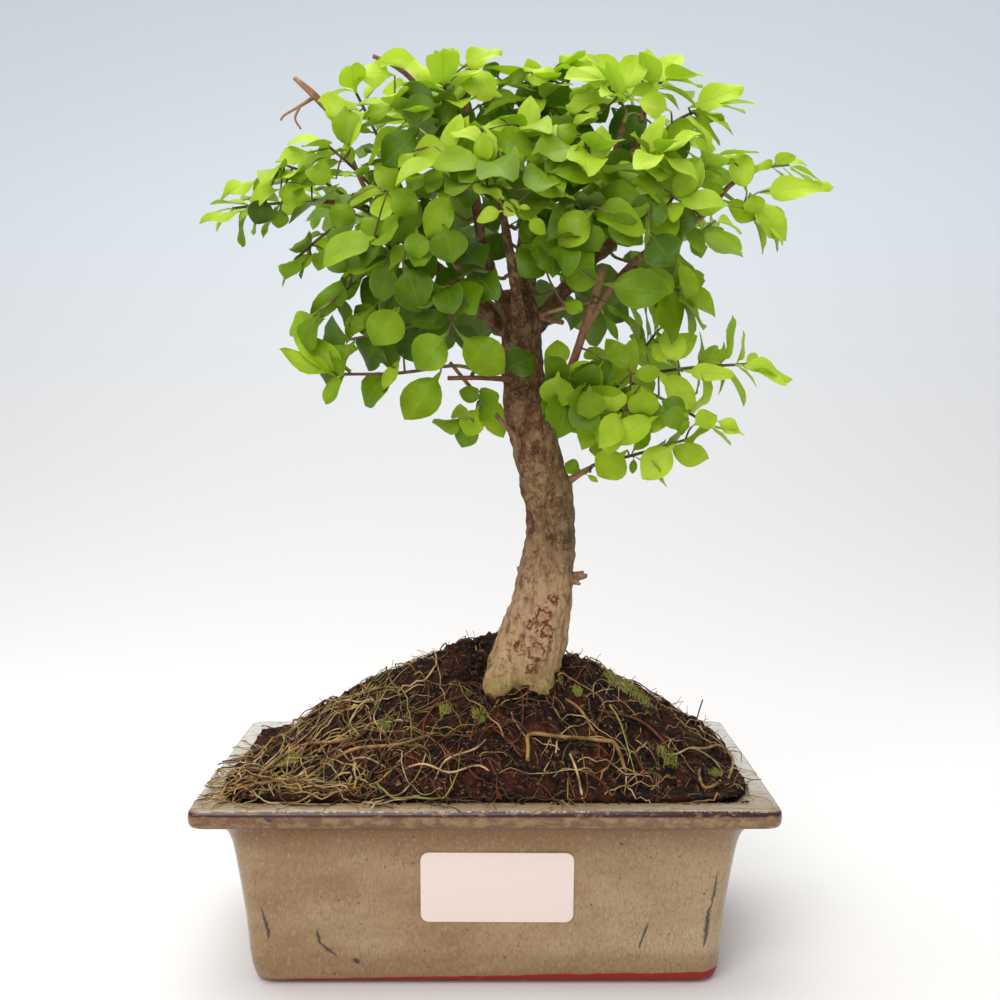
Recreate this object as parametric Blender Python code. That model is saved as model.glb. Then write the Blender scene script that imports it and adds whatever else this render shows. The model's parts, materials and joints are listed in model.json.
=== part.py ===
"""A Chinese privet bonsai in its glazed rectangular pot.

The origin is the centre of the pot's flat underside. The front of the tree faces -Y and +Z is up.
Places along the tree are read in millimetres as they look from the front, in the plane of the trunk,
and seen() slides each one along the line of sight to its own depth.
"""

import math
import random

import bmesh
import bpy
from mathutils import Matrix, Vector, noise
from mathutils.bvhtree import BVHTree

MM = 0.001
SEAT = 0.3 * MM

# Pot, in millimetres
POT_LENGTH = 155.6
POT_DEPTH = 103.0
POT_HEIGHT = 52.6
FLOOR = 5.0
RIM_CORNER = 3.4
BODY_CORNER = 7.0
FOOT_CORNER = 6.0
CORNER_STEPS = 4
DRAIN_RADIUS = 6.0
DRAIN_OFFSET = 36.0
DRAIN_SIDES = 16
WALL_LOW = (12.7, 17.0)
WALL_HIGH = (9.7, 38.5)

# Each ring of the pot: how far it lies inside the rim's outline, its height and its corner radius.
POT_OUTSIDE = (
    (15.6, 0.0, FOOT_CORNER),
    (14.6, 0.9, FOOT_CORNER),
    (13.5, 4.0, BODY_CORNER),
    (12.9, 9.0, BODY_CORNER),
    (*WALL_LOW, BODY_CORNER),
    (*WALL_HIGH, BODY_CORNER),
    (8.9, 41.6, 6.6),
    (7.8, 44.4, 6.0),
    (5.6, 46.3, 5.4),
    (3.0, 47.0, 4.6),
    (0.9, 47.1, RIM_CORNER),
    (0.0, 47.9, RIM_CORNER),
    (0.0, 51.7, RIM_CORNER),
    (0.8, POT_HEIGHT, RIM_CORNER),
)
POT_INSIDE = (
    (8.8, POT_HEIGHT - 0.3, 4.0),
    (9.9, 51.4, 4.4),
    (12.4, 45.6, 5.0),
    (14.6, 36.0, 5.5),
    (17.8, 17.0, 5.5),
    (18.2, 8.5, 5.5),
    (20.8, FLOOR, 5.0),
)

# Label, in millimetres
LABEL_WIDTH = 41.0
LABEL_HEIGHT = 20.1
LABEL_THICKNESS = 0.35
LABEL_CORNER = 2.2
LABEL_CENTRE = (3.2, 28.4)
LABEL_TURN = math.radians(-0.3)

# Soil, in millimetres
SOIL_PEAK = 87.0
SOIL_CENTRE = (2.0, 9.0)
SOIL_REACH_X = (74.0, 72.0)
SOIL_REACH_Y = (53.0, 34.0)
SOIL_FALL_X = (1.28, 1.5)
SOIL_FALL_Y = (1.1, 1.6)
SOIL_SPILL = 3.2
SOIL_SPILL_CORNER = 12.0
SOIL_ROUNDNESS = 1.6
SOIL_EDGE = 0.8
SOIL_LUMPS = 1.6
SOIL_LUMP_SIZE = 13.0
SOIL_RINGS = 8
SOIL_RING_SPREAD = 1.15
SOIL_BROW = 0.985
SOIL_CORNER_STEPS = 2
SOIL_SIDE_STEPS = (6, 4)

# Roots over the soil, in millimetres and radians. Headings point to the front half of the pot.
ROOTS = 7
ROOT_SEED = 5
ROOT_START = ((-26, 30), (-16, 2))
ROOT_LIMITS = ((-60, 60), (-39, 34))
ROOT_RADIUS = (0.55, 0.95)
ROOT_STEPS = (4, 5)
ROOT_STEP = (5, 8)
ROOT_STRETCH_X = 1.2
ROOT_HEADING = (-2.9, -0.2)
ROOT_WANDER = 0.55
ROOT_LIFT = 0.15
ROOT_DIVE = -1.6
ARCHED_ROOT = ((11, -21, -1.6), (15, -26, 0.7), (22, -27, 1.3), (30, -27.5, 1.4), (37, -28, 0.8), (40, -32, -1.6))
ARCHED_ROOT_RADIUS = 1.15

# The viewer's eye, in millimetres
EYE = Vector((3.2, -405.3, 158.8))

# The trunk and its limbs: x, z, depth and radius along each, in millimetres
TRUNK_SIDES = 12
LIMB_SIDES = 6
THICK_LIMB_SIDES = 8
THICK_LIMB = 3.4
BURIED_POINTS = 3
TRUNK_ROOM = 0.45
TRUNK = (
    (6.4, 50, 2, 10.8), (8.9, 73, 0, 11.0), (13.6, 88, -1, 10.2), (16.1, 100, -1, 8.7), (18.0, 112, 0, 7.6),
    (18.8, 123.5, 1, 7.1), (17.2, 135.3, 1, 7.2), (14.0, 147, 0, 6.8), (11.6, 158.6, 0, 6.5),
    (10.2, 170.3, 1, 6.3), (10.0, 181, 1, 5.8), (9.4, 190, 1, 4.6),
)
LIMBS = {
    "leader": ((9.8, 182, 1, 4.6), (11.2, 204.6, 2, 3.0), (12.1, 218.8, 3, 2.2), (15.0, 238, 4, 1.4)),
    "left_fork": ((8.6, 180, 0, 3.6), (3.0, 190, -3, 2.4), (-0.9, 201.7, -4, 2.1), (-2.3, 211.7, -5, 1.9),
                  (-6.6, 237, -6, 1.2)),
    "left_limb": ((8.4, 176.5, 2, 3.6), (-5.5, 188.3, 6, 2.7), (-13.3, 196, 9, 2.3), (-23.3, 204.6, 10, 1.9),
                  (-34.8, 213.6, 7, 1.5), (-47, 215.6, 4, 1.1)),
    "right_limb": ((11.5, 176, 2, 3.6), (21.4, 188.8, 2, 2.8), (29, 197.5, 0, 2.4), (36.3, 204, -1, 2.0),
                   (38.8, 215, -2, 1.8), (45.6, 243, -4, 1.2)),
    "upper_right": ((27, 195.5, 0, 2.0), (32.2, 212, -7, 1.7), (39.6, 238, -12, 1.1)),
    "cut_stick": ((16, 149, -1, 2.2), (24.4, 167.3, -9, 1.9), (30.1, 184.5, -13, 1.8), (34.1, 197.1, -14, 1.7)),
    "right_branch": ((28, 178, -12, 1.7), (36.4, 191.3, -12, 1.6), (45.9, 200.9, -10, 1.5), (61.6, 210.8, -7, 1.4),
                     (70, 220, -5, 1.2), (77, 224, -4, 0.9)),
    "back_limb": ((10.2, 172, 3, 3.2), (12, 186, 15, 2.4), (14, 202, 27, 1.9), (15, 217, 36, 1.2)),
    "front_limb": ((10, 178, -1, 3.0), (8.5, 191, -13, 2.0), (6, 206, -22, 1.5), (4, 217, -28, 1.1)),
    "low_right_limb": ((11, 155, 1, 2.4), (23, 164, 7, 1.7), (34, 167, 6, 1.4), (46, 166.5, 3, 1.1)),
    "lowest_twig": ((18, 130.5, 1, 2.6), (25.4, 135.9, -1, 1.7), (30.3, 138.8, -3, 1.2)),
    "pink_stub": ((9, 164.4, -2, 1.5), (-1, 165, -10, 1.1), (-11.1, 164.9, -13, 1.0)),
    "low_left_twig": ((13, 143, -1, 1.7), (3.5, 153.5, -6, 1.1), (-3, 160.5, -5, 0.9), (-10.5, 169.5, -4, 0.8)),
    "broken_stub": ((18, 106.4, 0, 2.2), (24.5, 106.6, -1, 1.9), (29.6, 107.4, -2, 1.1)),
    "small_knob": ((14, 108.6, -1, 2.2), (8.6, 109.2, -2, 1.2)),
    "pruned_twig": ((-30, 210, 8, 1.3), (-37, 224, 3, 1.1), (-43, 239, 0, 1.0), (-48.9, 245.6, -1, 1.3),
                    (-53.1, 249.6, -1, 0.7)),
}

# Leafy stems on each limb: the share of the limb where one starts, its route, its pairs of leaves
# and the size of its leaves
STEMS = {
    "left_limb": (
        (0.98, ((-60, 215, 2), (-73, 213.5, 0)), 4, 0.86),
        (0.82, ((-48, 222, -5), (-58, 226, -9)), 4, 0.9),
        (0.66, ((-34, 221, -6), (-46, 232, -14)), 4, 0.9),
        (0.52, ((-24, 219, 2), (-33, 238, 0), (-38, 248, -2)), 4, 0.95),
        (0.88, ((-48, 205, -5), (-55, 199, -9)), 3, 0.8),
        (0.60, ((-31, 198, -6), (-42, 189, -15), (-50, 183, -18)), 3, 0.9),
        (0.74, ((-38, 212, 24), (-48, 216, 36)), 3, 0.95),
        (0.40, ((-19, 196, -4), (-26, 201, -20), (-32, 206, -30)), 4, 1.0),
        (0.22, ((-9, 184, -8), (-24, 179, -16), (-40, 176, -19)), 4, 1.05),
        (0.30, ((-12, 186, 20), (-26, 182, 32)), 3, 1.0),
    ),
    "left_fork": (
        (0.98, ((-9, 243, -7), (-12, 248, -9)), 3, 1.0),
        (0.80, ((-17, 233, -6), (-26, 243, -10)), 4, 0.98),
        (0.66, ((-7, 222, -19), (-12, 229, -33)), 3, 1.0),
        (0.46, ((-9, 205, -18), (-18, 204, -31)), 3, 1.05),
        (0.56, ((-14, 215, -6), (-27, 218, -17)), 4, 1.0),
        (0.72, ((-10, 228, 12), (-19, 238, 26)), 3, 0.95),
    ),
    "leader": (
        (0.98, ((16, 244, 4), (14, 249, 0)), 3, 1.0),
        (0.80, ((12, 232, -12), (9, 237, -27)), 3, 1.0),
        (0.55, ((17, 213, -12), (22, 212, -27)), 3, 1.05),
        (0.70, ((22, 227, 4), (27, 242, -3)), 4, 0.98),
        (0.62, ((9, 219, 17), (3, 229, 33)), 3, 0.95),
        (0.85, ((16, 238, 16), (20, 246, 30)), 3, 0.9),
    ),
    "right_limb": (
        (0.98, ((47.5, 247, -4), (51, 250, -5)), 3, 1.0),
        (0.84, ((54, 238, -3), (65, 243, -5)), 4, 0.98),
        (0.74, ((45, 226, -17), (50, 229, -29)), 3, 1.0),
        (0.68, ((45, 226, 12), (54, 233, 26)), 3, 0.95),
        (0.46, ((39, 199, 12), (52, 197, 22)), 3, 1.0),
        (0.90, ((42, 243, 12), (40, 250, 24)), 2, 0.9),
    ),
    "upper_right": (
        (0.98, ((39, 243, -13), (35, 248, -15)), 3, 1.0),
        (0.62, ((33, 226, -24), (28, 231, -36)), 3, 1.0),
        (0.42, ((26, 210, -20), (30, 213, -36)), 3, 1.05),
    ),
    "right_branch": (
        (0.98, ((82, 225.5, -4), (87, 226, -4)), 3, 0.98),
        (0.84, ((75, 213, -8), (81, 209, -9)), 2, 0.95),
        (0.70, ((61, 221, -10), (65, 229, -13)), 3, 0.8),
        (0.50, ((50, 211, -18), (54, 217, -28)), 3, 1.0),
        (0.34, ((46, 193, -13), (56, 190, -15)), 2, 1.0),
        (0.60, ((60, 206, 8), (66, 210, 20)), 3, 0.9),
    ),
    "low_right_limb": (
        (0.98, ((60, 168, 1), (76, 169, 0)), 3, 0.9),
        (0.80, ((45, 173, -1), (50, 179, -3)), 2, 0.95),
        (0.90, ((53, 158, -3), (65, 151.5, -5)), 3, 0.9),
        (0.62, ((33, 160, -8), (40, 155, -20)), 4, 0.95),
        (0.72, ((40, 168, 18), (50, 171, 31)), 3, 0.95),
    ),
    "lowest_twig": (
        (0.98, ((43, 142.6, -5), (58, 147, -6)), 4, 0.92),
    ),
    "back_limb": (
        (0.98, ((15, 224, 42), (14, 232, 48)), 2, 0.95),
        (0.66, ((-2, 210, 34), (-12, 215, 43)), 3, 0.95),
        (0.74, ((28, 211, 36), (38, 217, 43)), 3, 0.95),
        (0.42, ((22, 191, 28), (29, 188, 42)), 3, 1.0),
        (0.34, ((2, 188, 26), (-6, 184, 40)), 3, 1.0),
    ),
    "front_limb": (
        (0.98, ((3, 223, -34), (0, 227, -42)), 2, 0.95),
        (0.62, ((15, 204, -27), (23, 203, -39)), 3, 1.0),
        (0.48, ((-3, 196, -22), (-12, 191, -32)), 3, 1.05),
        (0.80, ((12, 219, -31), (18, 224, -40)), 2, 1.0),
    ),
    "low_left_twig": (
        (0.60, ((-3, 155, -13), (-6, 152.5, -15)), 2, 0.8),
    ),
    "cut_stick": (
        (0.36, ((22, 163, -18), (27, 160, -22)), 2, 0.9),
    ),
    "pink_stub": (
        (0.70, ((-10, 168.5, -16), (-25, 166.4, -18), (-43, 166, -20)), 2, 0.98),
    ),
}

# Leafy stems, in millimetres
STEM_SIDES = 4
STEM_RADII = (0.95, 0.65)
STEM_STUB = 1.8
END_SEAT = 0.4
LIMB_END = 0.95

# Leaves. Lengths are in metres, and a range gives the least and the most of a seeded draw.
LEAF_SEED = 11
LEAF_TRIES = 16
LEAF_LENGTH = 20.5 * MM
LEAF_THICKNESS = 1.1 * MM
LEAF_MARGIN = 0.5 * MM
LEAF_SIZES = (0.86, 1.1)
LEAF_SIZE_AT_FOOT = 1.06
LEAF_SIZE_FALL = 0.26
LEAF_STALK = 0.15
STALK_WIDTH = 0.04
LEAF_STATIONS = (0.17, 0.43, 0.77)
LEAF_HALF_WIDTH = (0.31, 0.42)
LEAF_ROUNDNESS = 0.66
LEAF_EGG = 0.86
LEAF_CURL = (0.15, 0.75)
LEAF_FOLD = (0.1, 0.34)
LEAF_WAVE = (0.03, 0.085)
LEAF_WAVES = 7.5
LEAF_LEAN = (0.75, 1.15)
LEAN_FALL = 0.45
LEAF_RISE = (-0.28, 0.22)
PAIR_ROLL = 0.3
PAIR_TURN = 0.9
PAIR_STAGGER = 0.01
END_PAIR = 0.96
BARE_SHARE = 0.3
RETRY_ROLL = 0.08
RETRY_SHRINK = 0.012

# Which way the blades face: up, away from the crown's heart and a little to the front
CROWN_HEART = Vector((8, 0, 196)) * MM
UP = Vector((0, 0, 1))
FACING_UP = 0.5
FACING_OUT = Vector((0.45, 1.1, 0.9))
FACING_FRONT = Vector((0, -0.2, 0))
FACING_HOLD = 0.6
FACING_WOBBLE = 0.35


def clear_scene():
    for obj in list(bpy.data.objects):
        bpy.data.objects.remove(obj, do_unlink=True)


def material(name, colour, roughness, metallic=0.0):
    made = bpy.data.materials.new(name)
    made.use_nodes = True
    shader = made.node_tree.nodes["Principled BSDF"]
    shader.inputs["Base Color"].default_value = (*colour, 1)
    shader.inputs["Roughness"].default_value = roughness
    shader.inputs["Metallic"].default_value = metallic
    return made


def collection(name):
    made = bpy.data.collections.new(name)
    bpy.context.scene.collection.children.link(made)
    return made


def mesh_object(name, mesh, home):
    obj = bpy.data.objects.new(name, mesh)
    home.objects.link(obj)
    return obj


def from_points(name, points, faces, home):
    mesh = bpy.data.meshes.new(name)
    mesh.from_pydata(points, [], faces)
    return mesh_object(name, mesh, home)


def as_mesh(obj, home):
    """Turns a curve object into a closed mesh object and removes the curve."""
    bpy.context.view_layer.update()
    graph = bpy.context.evaluated_depsgraph_get()
    mesh = bpy.data.meshes.new_from_object(obj.evaluated_get(graph))
    shape = bmesh.new()
    shape.from_mesh(mesh)
    bmesh.ops.remove_doubles(shape, verts=shape.verts, dist=0.001 * MM)
    shape.to_mesh(mesh)
    shape.free()
    name = obj.name
    place = obj.matrix_world.copy()
    bpy.data.objects.remove(obj, do_unlink=True)
    made = mesh_object(name, mesh, home)
    made.matrix_world = place
    return made


def tube(name, route, sides, home):
    """A tapering tube with flat ends along 4D points: a place in metres and a radius in millimetres."""
    curve = bpy.data.curves.new(name, "CURVE")
    curve.dimensions = "3D"
    curve.bevel_depth = MM
    curve.bevel_resolution = sides // 2 - 2
    curve.use_fill_caps = True
    spline = curve.splines.new("POLY")
    spline.points.add(len(route) - 1)
    for point, place in zip(spline.points, route):
        point.co = (*place.xyz, 1)
        point.radius = place.w
    return as_mesh(mesh_object(name, curve, home), home)


def boolean(obj, operation, other, solver="EXACT"):
    """Applies one Boolean with an object or a collection, then removes what it used."""
    modifier = obj.modifiers.new(operation.lower(), "BOOLEAN")
    modifier.operation = operation
    modifier.solver = solver
    if isinstance(other, bpy.types.Collection):
        modifier.operand_type = "COLLECTION"
        modifier.collection = other
    else:
        modifier.object = other
    bpy.context.view_layer.update()
    graph = bpy.context.evaluated_depsgraph_get()
    joined = bpy.data.meshes.new_from_object(obj.evaluated_get(graph))
    obj.modifiers.clear()
    obj.data = joined
    if isinstance(other, bpy.types.Collection):
        for used in list(other.objects):
            bpy.data.objects.remove(used, do_unlink=True)
        bpy.data.collections.remove(other)
    else:
        bpy.data.objects.remove(other, do_unlink=True)
    return obj


def rounded_rectangle(half_x, half_y, radius, corner_steps, side_steps=(1, 1)):
    """Points round a rectangle with round corners, with its straight sides cut in side_steps along x and y."""
    points = []
    for quarter in range(4):
        angle = quarter * math.pi / 2
        centre = Vector((half_x - radius, half_y - radius))
        centre.x *= 1 if quarter in (0, 3) else -1
        centre.y *= 1 if quarter in (0, 1) else -1
        arc = []
        for step in range(corner_steps + 1):
            turn = angle + step / corner_steps * math.pi / 2
            arc.append(centre + radius * Vector((math.cos(turn), math.sin(turn))))
        if points:
            points += between(points[-1], arc[0], side_steps[(quarter + 1) % 2])
        points += arc
    return points + between(points[-1], points[0], side_steps[1])


def between(start, end, steps):
    return [start.lerp(end, step / steps) for step in range(1, steps)]


def loft(name, rings, home, centre=None):
    """A closed skin over rings of equal count. The last ring ends in a flat face or in a centre point."""
    count = len(rings[0])
    points = [point for ring in rings for point in ring]
    faces = [tuple(reversed(range(count)))]
    for low in range(0, len(points) - count, count):
        for step in range(count):
            after = (step + 1) % count
            faces.append((low + step, low + after, low + count + after, low + count + step))
    last = len(points) - count
    if centre is None:
        faces.append(tuple(range(last, last + count)))
    else:
        points.append(centre)
        faces += [(last + step, last + (step + 1) % count, len(points) - 1) for step in range(count)]
    return from_points(name, points, faces, home)


def pot_ring(inset, height, radius):
    outline = rounded_rectangle(POT_LENGTH / 2 - inset, POT_DEPTH / 2 - inset, radius, CORNER_STEPS)
    return [Vector((*point, height)) * MM for point in outline]


def make_pot(home):
    pot = loft("pot", [pot_ring(*ring) for ring in POT_OUTSIDE + POT_INSIDE], home)
    for side in (-1, 1):
        place = Vector((side * DRAIN_OFFSET, 0, FLOOR / 2)) * MM
        bpy.ops.mesh.primitive_cylinder_add(
            vertices=DRAIN_SIDES, radius=DRAIN_RADIUS * MM, depth=3 * FLOOR * MM, location=place
        )
        boolean(pot, "DIFFERENCE", bpy.context.object)
    return pot


def make_label(home):
    """A sticker that lies on the leaning front wall."""
    lean = math.atan2(WALL_LOW[0] - WALL_HIGH[0], WALL_HIGH[1] - WALL_LOW[1])
    x, z = LABEL_CENTRE
    share = (z - WALL_LOW[1]) / (WALL_HIGH[1] - WALL_LOW[1])
    inset = WALL_LOW[0] + share * (WALL_HIGH[0] - WALL_LOW[0])
    curve = bpy.data.curves.new("label", "CURVE")
    curve.dimensions = "2D"
    curve.fill_mode = "BOTH"
    curve.extrude = LABEL_THICKNESS / 2 * MM
    outline = rounded_rectangle(LABEL_WIDTH / 2, LABEL_HEIGHT / 2, LABEL_CORNER, CORNER_STEPS)
    spline = curve.splines.new("POLY")
    spline.use_cyclic_u = True
    spline.points.add(len(outline) - 1)
    for point, place in zip(spline.points, outline):
        point.co = (*(place * MM), 0, 1)
    obj = mesh_object("label", curve, home)
    stand = Matrix.Rotation(math.pi / 2 + lean, 4, "X") @ Matrix.Rotation(LABEL_TURN, 4, "Z")
    off_wall = SEAT + LABEL_THICKNESS / 2 * MM
    wall = Vector((x, inset - POT_DEPTH / 2, z)) * MM
    outward = Vector((0, -math.cos(lean), -math.sin(lean)))
    obj.matrix_world = Matrix.Translation(wall + outward * off_wall) @ stand
    return as_mesh(obj, home)


def soil_height(x, y):
    """The mound's height in millimetres: highest behind the trunk, steep on the right, long on the left."""
    right = x > SOIL_CENTRE[0]
    back = y > SOIL_CENTRE[1]
    across = (abs(x - SOIL_CENTRE[0]) / SOIL_REACH_X[right]) ** SOIL_FALL_X[right]
    inward = (abs(y - SOIL_CENTRE[1]) / SOIL_REACH_Y[back]) ** SOIL_FALL_Y[back]
    fall = min((across ** SOIL_ROUNDNESS + inward ** SOIL_ROUNDNESS) ** (1 / SOIL_ROUNDNESS), 1)
    lumps = noise.noise(Vector((x, y, 0)) / SOIL_LUMP_SIZE) * SOIL_LUMPS * (1.25 - fall)
    return POT_HEIGHT + SOIL_EDGE + (SOIL_PEAK - POT_HEIGHT) * (1 - fall) + lumps


def soil_ring(inset, height, radius, spill=0):
    gap = SEAT / MM
    half = (POT_LENGTH / 2 - inset - gap + spill, POT_DEPTH / 2 - inset - gap)
    outline = rounded_rectangle(*half, radius, SOIL_CORNER_STEPS, SOIL_SIDE_STEPS)
    return [Vector((*point, height)) * MM for point in outline]


def make_soil(home):
    """The root ball: it fills the pot and stands above the lip as a lumpy mound."""
    gap = SEAT / MM
    rings = [soil_ring(inset, max(height, FLOOR + gap), radius) for inset, height, radius in reversed(POT_INSIDE)]
    for height in (POT_HEIGHT + gap, POT_HEIGHT + 2 * SOIL_EDGE):
        rings.append(soil_ring(POT_INSIDE[0][0], height, SOIL_SPILL_CORNER, SOIL_SPILL))
    edge = rings[-1]
    centre = Vector(SOIL_CENTRE) * MM
    for step in range(SOIL_RINGS):
        share = SOIL_BROW * (1 - step / SOIL_RINGS) ** SOIL_RING_SPREAD
        ring = []
        for point in edge:
            place = centre.lerp(point.xy, share)
            ring.append(Vector((*place, soil_height(*(place / MM)) * MM)))
        rings.append(ring)
    peak = Vector((*centre, soil_height(*SOIL_CENTRE) * MM))
    return loft("soil", rings, home, centre=peak)


def ground_finder(obj):
    """A function that gives the height of the soil under a place in plan."""
    tree = BVHTree.FromPolygons([v.co for v in obj.data.vertices], [p.vertices[:] for p in obj.data.polygons])

    def height(x, y):
        return tree.ray_cast(Vector((x, y, 1)), -UP)[0].z
    return height


def root_routes(height):
    """Roots that creep over the mound: each wanders downhill, half sunk, and dives in at both ends."""
    draw = random.Random(ROOT_SEED)
    (least_x, most_x), (least_y, most_y) = ROOT_LIMITS
    for _ in range(ROOTS):
        heading = draw.uniform(*ROOT_HEADING)
        x, y = (draw.uniform(*span) for span in ROOT_START)
        radius = draw.uniform(*ROOT_RADIUS)
        steps = draw.randint(*ROOT_STEPS)
        route = []
        for step in range(steps + 1):
            lift = radius * (ROOT_DIVE if step in (0, steps) else ROOT_LIFT)
            route.append(on_soil(height, x, y, lift, radius))
            heading += draw.uniform(-ROOT_WANDER, ROOT_WANDER)
            length = draw.uniform(*ROOT_STEP)
            x = min(max(x + ROOT_STRETCH_X * length * math.cos(heading), least_x), most_x)
            y = min(max(y + length * math.sin(heading), least_y), most_y)
        yield route


def on_soil(height, x, y, lift, radius):
    return Vector((x * MM, y * MM, height(x * MM, y * MM) + lift * MM, radius))


def cover_with_roots(soil):
    """Fuses the creeping roots, and the thick one that arches over the front right, to the mound."""
    height = ground_finder(soil)
    roots = collection("roots")
    for route in root_routes(height):
        tube("root", route, STEM_SIDES, roots)
    arched = [on_soil(height, x, y, lift, ARCHED_ROOT_RADIUS) for x, y, lift in ARCHED_ROOT]
    tube("arched root", arched, LIMB_SIDES, roots)
    boolean(soil, "UNION", roots, "MANIFOLD")


def seen(x, z, depth):
    """A place in metres whose x and z were read in the trunk's plane, slid along the line of sight."""
    flat = Vector((x, 0, z))
    return EYE.lerp(flat, (depth - EYE.y) / -EYE.y) * MM


def limb_route(rows):
    return [Vector((*seen(x, z, depth), radius)) for x, z, depth, radius in rows]


def along(route, share):
    """The 4D point at a share of a route's length, and the route's direction there."""
    spans = [(end.xyz - start.xyz).length for start, end in zip(route, route[1:])]
    left = min(share, 0.9999) * sum(spans)
    for start, end, span in zip(route, route[1:], spans):
        if left <= span:
            return start.lerp(end, left / span), (end.xyz - start.xyz).normalized()
        left -= span
    return route[-1].copy(), (route[-1].xyz - route[-2].xyz).normalized()


def make_trunk(home):
    """The trunk and its limbs, grown together in one solid."""
    limbs = collection("limbs")
    trunk = tube("trunk", limb_route(TRUNK), TRUNK_SIDES, home)
    for name, rows in LIMBS.items():
        thickest = rows[0][3]
        tube(name, limb_route(rows), THICK_LIMB_SIDES if thickest > THICK_LIMB else LIMB_SIDES, limbs)
    return boolean(trunk, "UNION", limbs)


def cut_trunk_hole(soil, home):
    """Leaves room in the soil for the buried stretch of the trunk, a little larger all round."""
    buried = limb_route(TRUNK)[:BURIED_POINTS]
    for point in buried:
        point.w += TRUNK_ROOM
    buried[0].z -= SEAT
    boolean(soil, "DIFFERENCE", tube("trunk hole", buried, TRUNK_SIDES, home))


def stem_route(limb, share, rows):
    """A leafy stem's route: it leaves its limb square to it, or at its end, a seat's width off the bark."""
    anchor, grain = along(limb, share)
    places = [seen(*row) for row in rows]
    if share > LIMB_END:
        first = grain
        start = limb[-1].xyz + grain * END_SEAT * MM
    else:
        aim = places[0] - anchor.xyz
        first = (aim - grain * aim.dot(grain)).normalized()
        start = anchor.xyz + first * (anchor.w * MM + SEAT)
    places = [start, start + first * STEM_STUB * MM, *places]
    thick, thin = STEM_RADII
    last = len(places) - 1
    return [Vector((*place, thick + (thin - thick) * step / last)) for step, place in enumerate(places)]


class Leaf:
    """One leaf: where it grows, how it lies and how its blade curls and waves."""

    def __init__(self, base, direction, facing, length, draw):
        self.base = base
        self.forward = direction.normalized()
        self.side = self.forward.cross(facing).normalized()
        self.normal = self.side.cross(self.forward)
        self.length = length
        self.half_width = length * draw.uniform(*LEAF_HALF_WIDTH)
        self.curl = draw.uniform(*LEAF_CURL)
        self.fold = draw.uniform(*LEAF_FOLD)
        self.wave = length * draw.uniform(*LEAF_WAVE)
        self.phases = (draw.uniform(0, math.tau), draw.uniform(0, math.tau))

    def point(self, u, v):
        """The blade's middle surface: u runs from the stalk's foot to the tip, v from edge to edge."""
        turned = self.curl * u
        ahead = self.length * math.sin(turned) / self.curl
        drop = self.length * (1 - math.cos(turned)) / self.curl
        width = half_width(u)
        out = v * self.half_width * width
        wave = self.wave * math.sin(LEAF_WAVES * u + self.phases[v > 0]) * v * v * min(1, 3 * width)
        up = abs(out) * self.fold + wave - drop
        return self.base + self.forward * ahead + self.side * out + self.normal * up

    def blade(self, thickness, first=0):
        """Points and triangles of a closed blade, thick at its rib and thin at its edges."""
        stations = LEAF_STATIONS[first:]
        start = [self.point(LEAF_STATIONS[0] if first else 0, 0)]
        points = start + [self.point(1, 0)]
        half = self.normal * thickness / 2
        for u in stations:
            rib = self.point(u, 0)
            points += [self.point(u, -1), rib + half, self.point(u, 1), rib - half]
        faces = []
        end = 4 * (len(stations) - 1)
        for side in range(4):
            low, high = 2 + side, 2 + (side + 1) % 4
            faces += [(0, high, low), (1, low + end, high + end)]
            for row in range(0, end, 4):
                a, b, c, d = low + row, high + row, high + row + 4, low + row + 4
                alike = side in (0, 2)
                faces += [(a, b, c), (a, c, d)] if alike else [(a, b, d), (b, c, d)]
        return points, faces


def half_width(u):
    """The blade's half width as a share of its widest: a thin stalk, then an egg shape with a short point."""
    share = min(max(u - LEAF_STALK, 0) / (1 - LEAF_STALK), 1)
    return max(math.sin(math.pi * share ** LEAF_EGG) ** LEAF_ROUNDNESS, STALK_WIDTH if u < 0.5 else 0)


def leaf_on(route, share, side, roll, size, draw):
    """A leaf on one side of a stem, leaning forward and turned to face up and out of the crown."""
    at, grain = along(route, share)
    level = grain.cross(UP)
    level = level.normalized() if level.length > 0.05 else Vector((1, 0, 0))
    sideways = Matrix.Rotation(roll, 3, grain) @ level * side
    lean = draw.uniform(*LEAF_LEAN) * (1 - LEAN_FALL * share)
    direction = grain * math.cos(lean) + sideways * math.sin(lean) + UP * draw.uniform(*LEAF_RISE)
    outward = (at.xyz - CROWN_HEART).normalized() * FACING_OUT + FACING_FRONT
    wobble = Vector([draw.uniform(-FACING_WOBBLE, FACING_WOBBLE) for _ in range(3)])
    facing = (UP * FACING_UP + outward + wobble).normalized()
    direction -= facing * direction.dot(facing) * FACING_HOLD
    length = LEAF_LENGTH * size * draw.uniform(*LEAF_SIZES) * (LEAF_SIZE_AT_FOOT - LEAF_SIZE_FALL * share)
    return Leaf(at.xyz, direction, facing, length, draw)


class Obstacles:
    """Solids already placed, each with its stem's name and a ball round it, for a new one to keep clear of."""

    def __init__(self):
        self.solids = []

    def add(self, owner, points, faces):
        self.solids.append((owner, *ball_round(points), BVHTree.FromPolygons(points, faces)))

    def touched_by(self, owner, whole, stalkless):
        """Whether a blade touches anything. Its stalk may touch only its own stem."""
        centre, radius = ball_round(whole[0])
        whole_tree = BVHTree.FromPolygons(*whole)
        stalkless_tree = BVHTree.FromPolygons(*stalkless)
        for other_owner, other, reach, solid in self.solids:
            tree = stalkless_tree if other_owner == owner else whole_tree
            if (other - centre).length < radius + reach and solid.overlap(tree):
                return True
        return False


def ball_round(points):
    centre = sum(points, Vector()) / len(points)
    return centre, max((point - centre).length for point in points)


def mesh_data(obj):
    return [vertex.co.copy() for vertex in obj.data.vertices], [face.vertices[:] for face in obj.data.polygons]


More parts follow.
